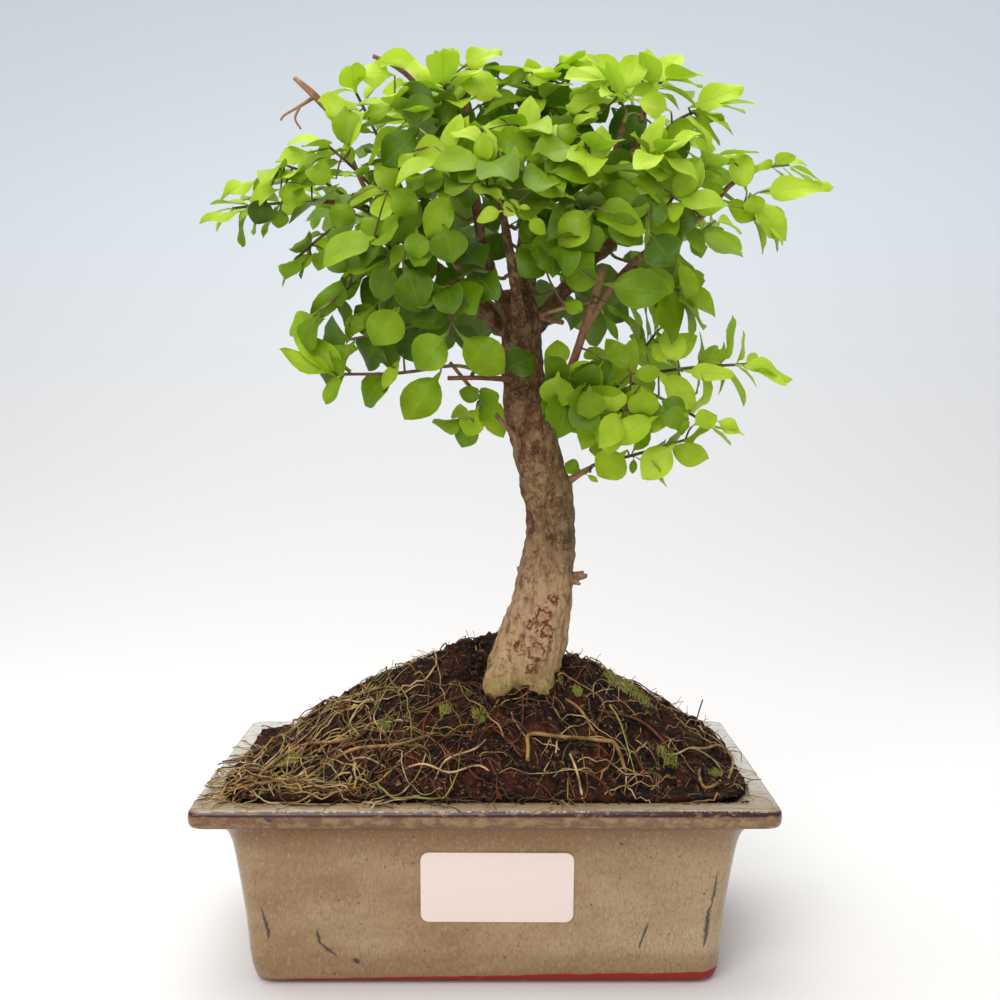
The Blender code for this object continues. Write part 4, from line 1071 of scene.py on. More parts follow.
def plan_tree():
    """Every leafy stem's route and leaves by name, and the leaves that stand out by limb."""
    obstacles = Obstacles()
    trunk = solid_tree()
    obstacles.add("trunk", *mesh_data(trunk))
    discard(trunk)
    routes = {}
    for limb_name, rows in STEMS.items():
        limb = limb_route(LIMBS[limb_name])
        for number, (share, places, pairs, size) in enumerate(rows, 1):
            name = f"leafy_stem_{limb_name}_{number}"
            route = stem_route(limb, share, places)
            stem = tube(name + " solid", [route], STEM_SIDES)
            obstacles.add(name, *mesh_data(stem))
            discard(stem)
            routes[name] = (route, pairs, size)
    leaves = plan_leaves(routes, obstacles)
    draw = random.Random(LEAF_SEED + 2)
    seen_leaves = {}
    for limb_name, rows in SEEN_LEAVES.items():
        seen_leaves[limb_name] = [seen_leaf(row, draw) for row in rows]
        for leaf in seen_leaves[limb_name]:
            obstacles.add(limb_name, *leaf.solid_blade(SOLID_LEAF_THICKNESS))
    for name, shoots in plan_shoots(routes, obstacles).items():
        leaves[name] += shoots
    return routes, leaves, seen_leaves


# Materials


class Look:
    """A material and its nodes. A node's values are numbers, colours or outputs of other nodes."""

    def __init__(self, name, **finish):
        self.material = bpy.data.materials.new(name)
        self.material.use_nodes = True
        self.tree = self.material.node_tree
        self.shader = self.tree.nodes["Principled BSDF"]
        self.feed(self.shader, {label.replace("_", " "): value for label, value in finish.items()})
        metres = self.add("TexCoord", {}, output="Object")
        self.place = self.add("VectorMath", {0: metres, "Scale": 1 / MM}, operation="SCALE")
        self.x, self.y, self.z = (
            self.add("SeparateXYZ", {0: self.place}, output=axis) for axis in range(3)
        )

    def feed(self, node, inputs):
        for name, value in inputs.items():
            socket = node.inputs[name]
            if isinstance(value, bpy.types.NodeSocket):
                self.tree.links.new(value, socket)
            elif socket.type == "RGBA" and len(value) == 3:
                socket.default_value = (*value, 1)
            else:
                socket.default_value = value

    def add(self, kind, inputs, output=0, **settings):
        node = self.tree.nodes.new("ShaderNode" + kind)
        for name, value in settings.items():
            setattr(node, name, value)
        self.feed(node, inputs)
        return node.outputs[output]

    def sized(self, size, stretch=(1, 1, 1)):
        """The place in units of a pattern's size, in millimetres, drawn out along each axis."""
        scale = [1 / (size * share) for share in stretch]
        return self.add("Mapping", {"Vector": self.place, "Scale": scale})

    def clouds(self, size, stretch=(1, 1, 1), detail=4, roughness=0.6, output=0):
        return self.add("TexNoise", {
            "Vector": self.sized(size, stretch), "Scale": 1, "Detail": detail, "Roughness": roughness,
        }, output=output)

    def cells(self, size, stretch=(1, 1, 1), feature="F1", output="Distance"):
        inputs = {"Vector": self.sized(size, stretch), "Scale": 1}
        return self.add("TexVoronoi", inputs, output=output, feature=feature)

    def band(self, value, low, high):
        """0 below low and 1 above high, or the other way round, with a soft step between."""
        inputs = {"Value": value, "From Min": low, "From Max": high}
        return self.add("MapRange", inputs, interpolation_type="SMOOTHSTEP")

    def between(self, value, start, full, fading, end):
        """1 from full to fading and 0 outside start and end, with soft steps."""
        return self.times(self.band(value, start, full), self.band(value, end, fading))

    def ramp(self, value, low, high, first=0.0, last=1.0):
        """A straight slope from first at low to last at high, and level past them."""
        inputs = {"Value": value, "From Min": low, "From Max": high, "To Min": first, "To Max": last}
        return self.add("MapRange", inputs)

    def sum(self, operation, first, second=0.0):
        return self.add("Math", {0: first, 1: second}, operation=operation)

    def plus(self, first, second):
        return self.sum("ADD", first, second)

    def minus(self, first, second):
        return self.sum("SUBTRACT", first, second)

    def times(self, first, second):
        return self.sum("MULTIPLY", first, second)

    def vector(self, operation, *values, output="Vector"):
        return self.add("VectorMath", dict(enumerate(values)), output=output, operation=operation)

    def mix(self, share, first, second):
        return self.add("Mix", {0: share, 6: first, 7: second}, output=2, data_type="RGBA")

    def shades(self, value, *stops):
        """A colour picked from stops of a place and a colour."""
        node = self.tree.nodes.new("ShaderNodeValToRGB")
        elements = node.color_ramp.elements
        for number, (place, colour) in enumerate(stops):
            element = elements[number] if number < 2 else elements.new(place)
            element.position = place
            element.color = (*colour, 1)
        self.tree.links.new(value, node.inputs[0])
        return node.outputs[0]

    def bump(self, height, depth, strength=1.0):
        """Adds relief of that depth, in millimetres, to the shader."""
        normal = self.add("Bump", {"Height": height, "Distance": depth * MM, "Strength": strength})
        self.feed(self.shader, {"Normal": normal})

    def colour(self, value):
        """Makes a colour or a pattern the look's own."""
        self.shown = value
        self.feed(self.shader, {"Base Color": value})

    def paint(self, where, share, value):
        """Lays a colour or a pattern over the look's own, wherever a mask says and up to a share."""
        self.colour(self.mix(self.times(where, share), self.shown, value))


def make_glaze():
    look = Look("glaze", Roughness=0.26, Coat_Weight=0.15, Coat_Roughness=0.12, Specular_IOR_Level=0.4)
    clouds = look.clouds(24, (1.8, 1.8, 1), detail=7, roughness=0.65)
    look.colour(look.shades(clouds, *GLAZE_TONES))
    shade_wall(look)
    pits, flecks = speckle_wall(look)
    colour_lip(look)
    for start, end, width in STREAKS:
        look.paint(stroke(look, start, end, width), 0.9, (0.012, 0.013, 0.02))
    bare_the_foot(look)
    look.bump(look.minus(clouds, look.plus(look.times(pits, 0.5), look.times(flecks, 0.05))), 0.3)
    return look.material


def shade_wall(look):
    """Level bands in the glaze, a paler right side that is painted light, darker browner colour under the
    lip, most on the left, and browner glaze low down.
    """
    look.paint(look.band(look.clouds(8, (9, 9, 1), detail=3), 0.45, 0.62), 0.3, (0.22, 0.12, 0.05))
    # Painted light: the right side of the wall is painted paler, as if more light fell on it
    look.paint(look.band(look.x, 10, 60), 0.3, (0.44, 0.335, 0.205))
    look.paint(look.band(look.z, 35, 46), look.ramp(look.x, -60, 60, 0.95, 0.55), (0.175, 0.076, 0.018))
    low = look.times(look.band(look.z, 11, 7), look.band(look.clouds(15, (3, 3, 1)), 0.4, 0.55))
    look.paint(low, 0.45, (0.2, 0.1, 0.04))


def speckle_wall(look):
    """Pale specks, dark flecks, pits and fine cracks. Returns the pits and the flecks."""
    pale = look.band(look.clouds(0.8, (1, 1, 2.0), roughness=0.7), 0.5, 0.7)
    look.paint(pale, 0.3, (0.47, 0.38, 0.24))
    flecks = look.band(look.clouds(0.55, (1, 1, 2.4), detail=3, roughness=0.7), 0.5, 0.68)
    look.paint(flecks, 0.42, (0.12, 0.06, 0.026))
    pits = look.band(look.cells(4.6), 0.09, 0.05)
    look.paint(pits, 0.6, (0.045, 0.025, 0.015))
    cracks = look.band(look.cells(1.9, (1, 1, 2.6), feature="DISTANCE_TO_EDGE"), 0.07, 0.0)
    look.paint(look.times(cracks, look.band(look.clouds(9), 0.42, 0.6)), 0.35, (0.12, 0.06, 0.028))
    return pits, flecks


def past_the_lip(look):
    """How far a place lies outside the lip's outline with its round corners, in millimetres."""
    across = look.minus(look.sum("ABSOLUTE", look.x), POT_LENGTH / 2 - RIM_CORNER)
    deep = look.minus(look.sum("ABSOLUTE", look.y), POT_DEPTH / 2 - RIM_CORNER)
    past = look.add("CombineXYZ", {0: look.sum("MAXIMUM", across), 1: look.sum("MAXIMUM", deep)})
    return look.minus(look.vector("LENGTH", past, output="Value"), RIM_CORNER)


def colour_lip(look):
    """The lip's mottled face, painted shade under it, its top with dirt and painted shade and reflection,
    and its dark edge with painted glints.
    """
    out = past_the_lip(look)
    mottle = look.band(look.clouds(1.8, (2, 2, 1), detail=6, roughness=0.75), 0.44, 0.58)
    blotched = look.mix(mottle, (0.09, 0.035, 0.017), (0.26, 0.155, 0.075))
    look.paint(look.between(look.z, *LIP_FACE), 0.6, blotched)
    # Painted shade: a dark line in the crease under the lip
    look.paint(look.between(look.z, *LIP_CREASE_SHADE), 0.75, (0.07, 0.055, 0.06))
    # Painted shade and reflection: the lip's top is darker at the front and paler towards the back
    top = look.shades(look.ramp(look.y, -POT_DEPTH / 2, 0), *LIP_LIGHT_TONES)
    dirt = look.band(look.clouds(2.0, (2.2, 0.8, 1), detail=6, roughness=0.75), 0.48, 0.6)
    on_top = look.times(look.band(look.z, 51.9, 52.1), look.band(out, -0.7, -0.9))
    look.paint(on_top, 0.95, look.mix(look.times(dirt, 0.5), top, (0.16, 0.09, 0.04)))
    edge = look.times(look.band(look.z, 50.3, 50.9), look.band(out, -0.75, -0.45))
    broken = look.band(look.clouds(1.5, (2.4, 2.4, 1), detail=6, roughness=0.75), 0.37, 0.46)
    look.paint(edge, broken, (0.025, 0.005, 0.006))
    # Painted highlight: broken pale glints along the lip's outer edge
    glint = look.between(out, *LIP_GLINT)
    shine = look.times(look.band(look.z, 51.6, 51.9), look.band(look.clouds(0.8, detail=3), 0.48, 0.6))
    look.paint(look.times(glint, shine), 0.6, (0.55, 0.46, 0.48))


def stroke(look, start, end, width):
    """A soft mark on the front, from one place to another in x and z, narrow at both ends."""
    (x0, z0), (x1, z1) = start, end
    down = look.ramp(look.z, z0, z1)
    wave = look.times(look.minus(look.clouds(5), 0.5), 2.5)
    off = look.sum("ABSOLUTE", look.minus(look.minus(look.x, look.ramp(down, 0, 1, x0, x1)), wave))
    ends = look.times(look.times(down, look.minus(1, down)), 4 * width)
    return look.times(look.band(off, ends, 0), look.band(look.y, 0, -10))


def bare_the_foot(look):
    """Bare red clay below a ragged edge of glaze that climbs to the right."""
    slope = look.plus(look.times(look.x, 0.02), 2.6)
    ragged = look.plus(slope, look.times(look.minus(look.clouds(6), 0.5), 1.4))
    bare = look.band(look.minus(look.z, ragged), 0.2, -0.2)
    clay = look.mix(look.clouds(2.5), (0.36, 0.014, 0.001), (0.17, 0.01, 0.002))
    look.colour(look.mix(bare, look.shown, clay))
    look.feed(look.shader, {"Roughness": look.ramp(bare, 0, 1, 0.24, 0.85)})


def make_paper():
    look = Look("paper", Roughness=0.55)
    look.colour(look.mix(look.clouds(0.9, detail=3), (0.73, 0.60, 0.54), (0.78, 0.65, 0.59)))
    look.bump(look.clouds(0.4), 0.03)
    return look.material


def make_peat():
    look = Look("peat", Roughness=0.95, Specular_IOR_Level=0.2)
    coarse, fine = (
        look.shades(look.add("SeparateColor", {0: look.cells(size, output="Color")}), *PEAT_TONES)
        for size in (1.3, 0.6)
    )
    look.colour(look.mix(look.band(look.clouds(2.4, detail=3), 0.4, 0.6), coarse, fine))
    dark = look.band(look.clouds(3.5, detail=5, roughness=0.7), 0.5, 0.6)
    look.paint(dark, 0.8, (0.005, 0.003, 0.002))
    rust = look.band(look.clouds(7), 0.48, 0.62)
    look.paint(rust, 0.36, (0.105, 0.021, 0.007))
    damp = look.band(look.clouds(11), 0.6, 0.7)
    look.paint(damp, 0.25, (0.05, 0.065, 0.012))
    look.bump(look.plus(look.clouds(0.8, detail=5, roughness=0.75), look.cells(1.3)), 0.6)
    return look.material


def make_root_look(name, tone):
    """Root bark of one tone, paler and darker along its length and ringed."""
    look = Look(name, Roughness=0.75, Specular_IOR_Level=0.3)
    pale = [min(part * 1.5, 1) for part in tone]
    deep = [part * 0.45 for part in tone]
    look.colour(look.shades(look.clouds(4.5, detail=3), (0.36, deep), (0.5, tone), (0.66, pale)))
    rings = look.band(look.clouds(0.7, detail=2), 0.5, 0.7)
    look.paint(rings, 0.4, deep)
    look.bump(look.clouds(0.5, detail=3), 0.15)
    return look.material


def make_bark():
    look = Look("bark", Roughness=0.8, Specular_IOR_Level=0.25)
    uneven = look.times(look.minus(look.clouds(12), 0.5), 30)
    look.colour(look.shades(look.ramp(look.plus(look.z, uneven), *BARK_SPAN), *BARK_TONES))
    grain = look.clouds(2.4, (1, 1, 2.4), detail=8, roughness=0.8)
    look.paint(look.band(grain, 0.48, 0.64), 0.85, (0.06, 0.02, 0.007))
    patches = look.clouds(3.6, (1, 1, 1.4), detail=6, roughness=0.75)
    upper = look.ramp(look.z, 96, 118, 0, 0.75)
    look.paint(look.band(patches, 0.51, 0.56), upper, (0.27, 0.185, 0.09))
    deep = look.plus(look.times(upper, 0.6), 0.25)
    look.paint(look.band(patches, 0.47, 0.41), deep, (0.05, 0.017, 0.006))
    pale = look.band(look.clouds(1.2, (1, 1, 1.3), detail=5, roughness=0.7), 0.54, 0.68)
    look.paint(pale, 0.55, (0.40, 0.28, 0.15))
    rust = look.band(look.clouds(2.6, (1.4, 1.4, 0.8), detail=6, roughness=0.75), 0.56, 0.63)
    look.paint(rust, 0.7, (0.14, 0.036, 0.015))
    green = look.times(look.band(look.x, 13, 24), look.band(look.clouds(6), 0.4, 0.6))
    look.paint(green, look.times(upper, 0.55), (0.085, 0.085, 0.024))
    spots = look.band(look.cells(LENTICELS, (1.3, 1.3, 0.8)), 0.15, 0.08)
    look.paint(spots, 0.45, (0.42, 0.28, 0.17))
    mossy = look.times(look.band(look.z, 86, 74), look.band(look.clouds(3), 0.38, 0.52))
    look.paint(mossy, 0.6, (0.22, 0.18, 0.03))
    ring_the_scars(look)
    look.bump(look.plus(grain, patches), 0.7)
    return look.material


def ring_the_scars(look):
    """A pale heart and a crooked dark ring for each old cut on the trunk's front."""
    warp = look.vector("SUBTRACT", look.clouds(1.7, roughness=0.5, output="Color"), (0.5, 0.5, 0.5))
    bent = look.vector("MULTIPLY_ADD", warp, (4.5, 4.5, 4.5), look.place)
    front = look.band(look.y, 0, -4)
    for (x, z), radius in SCARS:
        off = look.vector("MULTIPLY", look.vector("SUBTRACT", bent, (x, 0, z)), (1, 0, 1))
        away = look.vector("LENGTH", off, output="Value")
        heart = look.times(look.band(away, radius, radius - 1.4), front)
        look.paint(heart, 0.5, (0.46, 0.25, 0.15))
        ring = look.band(look.sum("ABSOLUTE", look.minus(away, radius)), 0.75, 0.2)
        broken = look.band(look.clouds(1.6), 0.36, 0.5)
        look.paint(look.times(look.times(ring, broken), front), 0.95, (0.11, 0.025, 0.012))


def make_young_bark():
    look = Look("young bark", Roughness=0.6, Specular_IOR_Level=0.3)
    look.colour(look.shades(look.clouds(7, (1, 1, 1.6), detail=5, roughness=0.7), *YOUNG_BARK_TONES))
    look.paint(look.band(look.clouds(1.5), 0.55, 0.7), 0.5, (0.06, 0.022, 0.01))
    look.paint(look.band(look.cells(1.3), 0.17, 0.1), 0.45, (0.5, 0.36, 0.22))
    look.bump(look.clouds(0.8), 0.2)
    return look.material


def vein_masks(look):
    """The leaf's veins and its edge, painted pale as light through the margin, from the pattern's own UV:
    across the blade and along it.
    """
    uv = look.add("TexCoord", {}, output="UV")
    across, length = (look.add("SeparateXYZ", {0: uv}, output=axis) for axis in range(2))
    off_rib = look.sum("ABSOLUTE", look.minus(across, 0.5))
    slant = look.minus(look.times(length, VEINS), look.times(off_rib, VEIN_LEAN))
    near = look.sum("PINGPONG", slant, 0.5)
    side_veins = look.times(look.band(near, 0.09, 0.0), look.band(off_rib, 0.49, 0.3))
    rib = look.band(off_rib, 0.035, 0.008)
    return look.sum("MAXIMUM", look.times(side_veins, 0.45), rib), look.band(off_rib, 0.45, 0.49)


def make_leaf_look():
    """Old leaves are deep green and young ones yellow green, a scale that also paints light and shade,
    paler beneath, and light shines through.
    """
    look = Look("leaf", Roughness=0.39, Specular_IOR_Level=0.24)
    age_and_light = look.add("Attribute", {}, output="Fac", attribute_name="youth")
    under = look.add("Attribute", {}, output="Fac", attribute_name="underside")
    mottled = look.plus(age_and_light, look.times(look.minus(look.clouds(7, detail=3), 0.5), 0.35))
    look.colour(look.shades(mottled, *LEAF_TONES))
    lit = look.shades(mottled, *LIT_LEAF_TONES)
    veins, edge = vein_masks(look)
    look.paint(veins, 0.28, look.mix(0.45, look.shown, (0.55, 0.62, 0.2)))
    # Painted light: a pale line round the margin, for light shining through the thin edge
    look.paint(edge, 0.14, (0.5, 0.56, 0.14))
    look.paint(under, 0.5, (0.3, 0.42, 0.1))
    look.bump(look.minus(look.times(look.clouds(1.6), 0.5), veins), 0.12, 0.6)
    glow = look.add("BsdfTranslucent", {"Color": look.mix(look.times(veins, 0.5), lit, look.shown)})
    both = look.add("MixShader", {0: 0.42, 1: look.shader.outputs[0], 2: glow})
    look.feed(look.tree.nodes["Material Output"], {"Surface": both})
    return look.material


def make_twig_look():
    look = Look("green twig", Roughness=0.6)
    look.colour(look.shades(look.clouds(11, detail=3), *TWIG_TONES))
    look.paint(look.band(look.cells(1.1), 0.2, 0.1), 0.3, (0.24, 0.15, 0.07))
    look.bump(look.clouds(0.6), 0.1)
    return look.material


def make_moss_look():
    look = Look("moss", Roughness=0.8)
    look.colour(look.mix(look.clouds(2.0), (0.10, 0.115, 0.013), (0.38, 0.385, 0.06)))
    look.bump(look.clouds(0.4), 0.1)
    return look.material


# Pot


def add_pot_ring(inset, height, corner):
    """Adds one wire ring of the pot to the mesh being edited: a plane with its corners rounded."""
    centre = Vector((0, 0, height)) * MM
    bpy.ops.mesh.primitive_plane_add(size=2 * MM, location=centre)
    half = (POT_LENGTH / 2 - inset, POT_DEPTH / 2 - inset, 1)
    bpy.ops.transform.resize(value=half, center_override=centre)
    bpy.ops.mesh.bevel(offset=corner * MM, segments=CORNER_STEPS, affect="VERTICES")


def level_at(height, *ends):
    """Whether every end of an edge lies at that height, in millimetres."""
    return all(abs(end.z - height) < SAME_HEIGHT for end in ends)


def make_pot_skin(name, rings, closed_at):
    """One side of the pot's wall, open at the rim and closed by a flat face at the given height."""
    skin = new_object(name, bpy.data.meshes.new(name))
    with editing(skin):
        for ring in rings:
            add_pot_ring(*ring)
        bpy.ops.mesh.select_mode(type="FACE")
        bpy.ops.mesh.select_all(action="SELECT")
        bpy.ops.mesh.delete(type="ONLY_FACE")
        bpy.ops.mesh.select_mode(type="EDGE")
        bpy.ops.mesh.select_all(action="SELECT")
        bpy.ops.mesh.bridge_edge_loops()
        pick_edges(skin, lambda a, b: level_at(closed_at, a, b))
        bpy.ops.mesh.edge_face_add()
    return skin


def make_pot(look):
    pot = join("pot_shell", [
        make_pot_skin("pot_shell", POT_OUTSIDE, POT_OUTSIDE[0][1]),
        make_pot_skin("pot inside", POT_INSIDE, FLOOR),
    ])
    with editing(pot):
        bpy.ops.mesh.select_non_manifold()
        bpy.ops.mesh.bridge_edge_loops()
        pick_edges(pot, lambda a, b: level_at(a.z, b) and (a - b).length > POT_DEPTH / 2)
        bpy.ops.mesh.subdivide(number_cuts=SIDE_CUTS)
        turn_outward()
    modify(pot, "SUBSURF", levels=1, render_levels=1)
    wobble(pot)
    for side in (-1, 1):
        cut_drain(pot, side * DRAIN_OFFSET)
    finish_piece(pot, [look], "glaze", "pot")
    return pot


def wobble(pot):
    """The slight unevenness of a wall made by hand. The foot stays flat."""
    noise.seed_set(POT_WOBBLE_SEED)
    for vertex in pot.data.vertices:
        place = vertex.co / MM
        push = noise.noise_vector(place / POT_WOBBLE_SIZE) * POT_WOBBLE
        held = clamped((place.z - POT_WOBBLE_FROM) / POT_WOBBLE_RISE)
        vertex.co += Vector((push.x, push.y, push.z * POT_WOBBLE_UP)) * held * MM


def cut_drain(pot, x):
    deselect()
    bpy.ops.mesh.primitive_cylinder_add(
        vertices=DRAIN_SIDES, radius=DRAIN_RADIUS * MM, depth=3 * FLOOR * MM,
        location=(x * MM, 0, FLOOR / 2 * MM),
    )
    drill = bpy.context.object
    modify(pot, "BOOLEAN", operation="DIFFERENCE", object=drill)
    discard(drill)


# Soil


def soil_height(x, y):
    """The mound's height in millimetres: highest behind the trunk, steep on the right, long on the left."""
    right = x > SOIL_CENTRE[0]
    back = y > SOIL_CENTRE[1]
    across = (abs(x - SOIL_CENTRE[0]) / SOIL_REACH_X[right]) ** SOIL_FALL_X[right]
    inward = (abs(y - SOIL_CENTRE[1]) / SOIL_REACH_Y[back]) ** SOIL_FALL_Y[back]
    fall = min((across ** SOIL_ROUNDNESS + inward ** SOIL_ROUNDNESS) ** (1 / SOIL_ROUNDNESS), 1)
    lumps = noise.noise(Vector((x, y, 0)) / SOIL_LUMP_SIZE) * SOIL_LUMPS * (SOIL_LUMP_FADE - fall)
    left = clamped((SOIL_DIP_FROM[0] - x) / SOIL_DIP_RUN[0])
    worn = SOIL_DIP * left * clamped((y - SOIL_DIP_FROM[1]) / SOIL_DIP_RUN[1])
    height = POT_HEIGHT + SOIL_EDGE + (SOIL_PEAK - POT_HEIGHT) * (1 - fall) + lumps - worn
    return max(height, POT_HEIGHT + SOIL_EDGE / 2)


def drawn_in(u, v):
    """How far a place on the soil's square grid is drawn towards the centre, to round the four corners."""
    most = max(abs(u), abs(v))
    if most == 0:
        return 1
    edge = Vector((abs(u) * SOIL_HALF.x, abs(v) * SOIL_HALF.y)) / most
    corner = SOIL_HALF - Vector((SOIL_SPILL_CORNER, SOIL_SPILL_CORNER))
    if edge.x <= corner.x or edge.y <= corner.y:
        return 1
    reach = edge.dot(corner)
    spread = edge.length_squared
    past = corner.length_squared - SOIL_SPILL_CORNER ** 2
    return (reach + math.sqrt(reach * reach - spread * past)) / spread


def crumbs(x, y):
    """The height of the crumbs of soil over the mound, in millimetres."""
    height = 0
    for size, depth in CRUMBS:
        near = noise.voronoi(Vector((x, y, size)) / size)[0][0]
        height += depth * (0.5 - near)
    return height


def make_mound():
    """The mound's upper face, a fine grid with its crumbs."""
    deselect()
    across, deep = (round(2 * half / SOIL_PITCH) for half in SOIL_HALF)
    bpy.ops.mesh.primitive_grid_add(x_subdivisions=across, y_subdivisions=deep, size=2)
    soil = bpy.context.object
    soil.name = "soil_mound"
    for vertex in soil.data.vertices:
        u, v = vertex.co.xy
        x, y = Vector((u * SOIL_HALF.x, v * SOIL_HALF.y)) * drawn_in(u, v)
        vertex.co = Vector((x, y, soil_height(x, y) + crumbs(x, y))) * MM
    return soil


def extrude_inward(half, top, inset, height):
    """Draws the root ball's edge in to the pot's next ring. Returns the ring's half size and height."""
    inner = Vector((POT_LENGTH / 2, POT_DEPTH / 2)) - Vector((inset, inset))
    bpy.ops.mesh.extrude_region_move()
    share = (inner.x / half.x, inner.y / half.y, 1)
    bpy.ops.transform.resize(value=share, center_override=UP * top * MM)
    bpy.ops.transform.translate(value=(0, 0, (height - top) * MM))
    return inner, height


def make_soil(look):
    """The mound and the root ball that fills the pot under it."""
    soil = make_mound()
    half, top = SOIL_HALF, POT_HEIGHT + SEAT
    with editing(soil):
        bpy.ops.mesh.select_non_manifold()
        bpy.ops.mesh.extrude_region_move()
        bpy.ops.transform.resize(value=(1, 1, 0), center_override=UP * top * MM)
        for inset, height, _ in POT_INSIDE:
            half, top = extrude_inward(half, top, inset + SEAT, max(height, FLOOR + SEAT))
        bpy.ops.mesh.edge_face_add()
        turn_outward()
    finish_piece(soil, [look], "peat", "soil", sharp=180)
    return soil


def tree_of(*objects):
    """One search tree over several meshes."""
    points, faces = [], []
    for obj in objects:
        places, corners = mesh_data(obj)
        faces += [[len(points) + corner for corner in face] for face in corners]
        points += places
    return BVHTree.FromPolygons(points, faces)


def ground_under(ground, x, y):
    """The place in metres on the soil or the lip straight under x and y, or None off the pot."""
    hit = ground.ray_cast(Vector((x * MM, y * MM, 1)), -UP)[0]
    return hit if hit and hit.z > (POT_HEIGHT - LIP_DROP) * MM else None


def ground_seen(ground, x, z):
    """The place on the soil behind x and z in the trunk's plane, as the viewer sees it."""
    sight = Vector((x, 0, z)) - EYE
    return ground.ray_cast(EYE * MM, sight.normalized())[0]


# Roots, clods and moss on the soil


def thin_root(ground, draw, across, deep, headings, lengths, steps, radii):
    """One root that curls over the mound in its own layer and dives in at its ends."""
    x, y = draw.uniform(*across), draw.uniform(*deep)
    heading = draw.uniform(*headings)
    curl = draw.uniform(-ROOT_CURL, ROOT_CURL)
    radius = draw.uniform(*radii)
    layer = draw.uniform(*ROOT_FLOAT)
    last = draw.randint(*steps)
    route = []
    for step in range(last + 1):
        place = ground_under(ground, x, y)
        if not place:
            break
        lift = ROOT_DIVE if step in (0, last) else layer + draw.uniform(-ROOT_RIPPLE, ROOT_RIPPLE)
        route.append(Vector((*(place + UP * lift * MM), radius * (1 - ROOT_TAPER * step / last))))
        heading += curl + draw.uniform(-ROOT_WANDER, ROOT_WANDER)
        length = draw.uniform(*lengths)
        x += length * math.cos(heading)
        y += length * math.sin(heading)
    return route


def thin_roots(ground):
    """The routes of all the thin roots, by tone."""
    draw = random.Random(ROOT_SEED)
    tones = {tone: [] for tone in ROOT_TONES}
    for count, *habits, weights in ROOT_GROUPS:
        for _ in range(count):
            tone = draw.choices(list(ROOT_TONES), weights)[0]
            route = thin_root(ground, draw, *habits)
            if len(route) >= SHORTEST_ROOT:
                tones[tone].append(smooth_route(route, 2))
    return tones


def lifted(ground, rows):
    """The places on the soil behind each row's x and z, lifted by its lift."""
    return [ground_seen(ground, x, z) + UP * lift * MM for x, z, lift in rows]


def make_roots(ground):
    """Every root on the mound, one mesh for each tone, joined."""
    routes = thin_roots(ground)
    for tone, radius, rows in BIG_ROOTS:
        routes[tone].append(smooth_route(tapered(lifted(ground, rows), radius, radius), 5))
    parts = [
        painted(tube(tone, routes[tone], ROOT_SIDES), make_root_look(tone, colour))
        for tone, colour in ROOT_TONES.items()
    ]
    finish_piece(join("surface_roots", parts), (), "peat", sharp=80)


def make_clod(pattern, place, size, draw):
    turn = Matrix.Rotation(draw.uniform(0, math.tau), 3, "Z")
    turn = turn @ Matrix.Rotation(draw.uniform(-CLOD_TILT, CLOD_TILT), 3, "X")
    shape = Matrix.Diagonal((size, size * draw.uniform(*CLOD_DEPTH), size * draw.uniform(*CLOD_HEIGHT)))
    origin = Vector((draw.uniform(0, 99), 0, 0))
    clod = new_object("clod", pattern.data.copy())
    for vertex in clod.data.vertices:
        rough = 1 + CLOD_ROUGHNESS * noise.noise(vertex.co * CLOD_GRAIN + origin)
        vertex.co = place + turn @ shape @ (vertex.co * rough) * MM
    return clod


def clod_places(ground, draw):
    """Each clod's place and size, one by one: the chips, then the mound's, the foot's and the lip's."""
    for x, z, size in CHIPS:
        yield ground_seen(ground, x, z), size
    for _ in range(CLODS):
        x, y = (draw.uniform(-1, 1) * (half - CLOD_MARGIN) for half in SOIL_HALF)
        yield ground_under(ground, x, y), draw.uniform(*CLOD_SIZES) * draw.uniform(*CLOD_SHRINK)
    for _ in range(FOOT_CLODS):
        angle, away = draw.uniform(0, math.tau), draw.uniform(*FOOT_REACH)
        place = ground_under(ground, TRUNK[1][0] + away * math.cos(angle), away * math.sin(angle))
        yield place, draw.uniform(*FOOT_SIZES)
    for _ in range(SPILLED):
        x, away = draw.uniform(*SPILL_ACROSS), draw.uniform(*SPILL_REACH)
        yield ground_under(ground, x, -SOIL_HALF.y - away), draw.uniform(*SPILL_SIZES)


def make_clods(ground, look):
    """Loose crumbs of soil and chips of bark, each a small lump pressed into the mound."""
    draw = random.Random(CLOD_SEED)
    deselect()
    bpy.ops.mesh.primitive_ico_sphere_add(subdivisions=1, radius=1)
    pattern = bpy.context.object
    clods = [make_clod(pattern, place, size, draw) for place, size in clod_places(ground, draw)]
    discard(pattern)
    finish_piece(join("loose_crumbs", clods), [look], "peat", sharp=180)


def moss_blade(ground, heart, reach, draw):
    """One blade near a tuft's heart, or None off the pot."""
    away = Vector((draw.gauss(0, reach / 2), draw.gauss(0, reach / 2), 0))
    foot = ground_under(ground, heart.x / MM + away.x, heart.y / MM + away.y)
    if not foot:
        return None
    lean = Vector((*(draw.uniform(-MOSS_LEAN, MOSS_LEAN) for _ in range(2)), 1)).normalized()
    tip = foot + lean * draw.uniform(*MOSS_BLADE) * MM
    return tapered((foot - UP * MOSS_SINK * MM, tip), *MOSS_RADII)


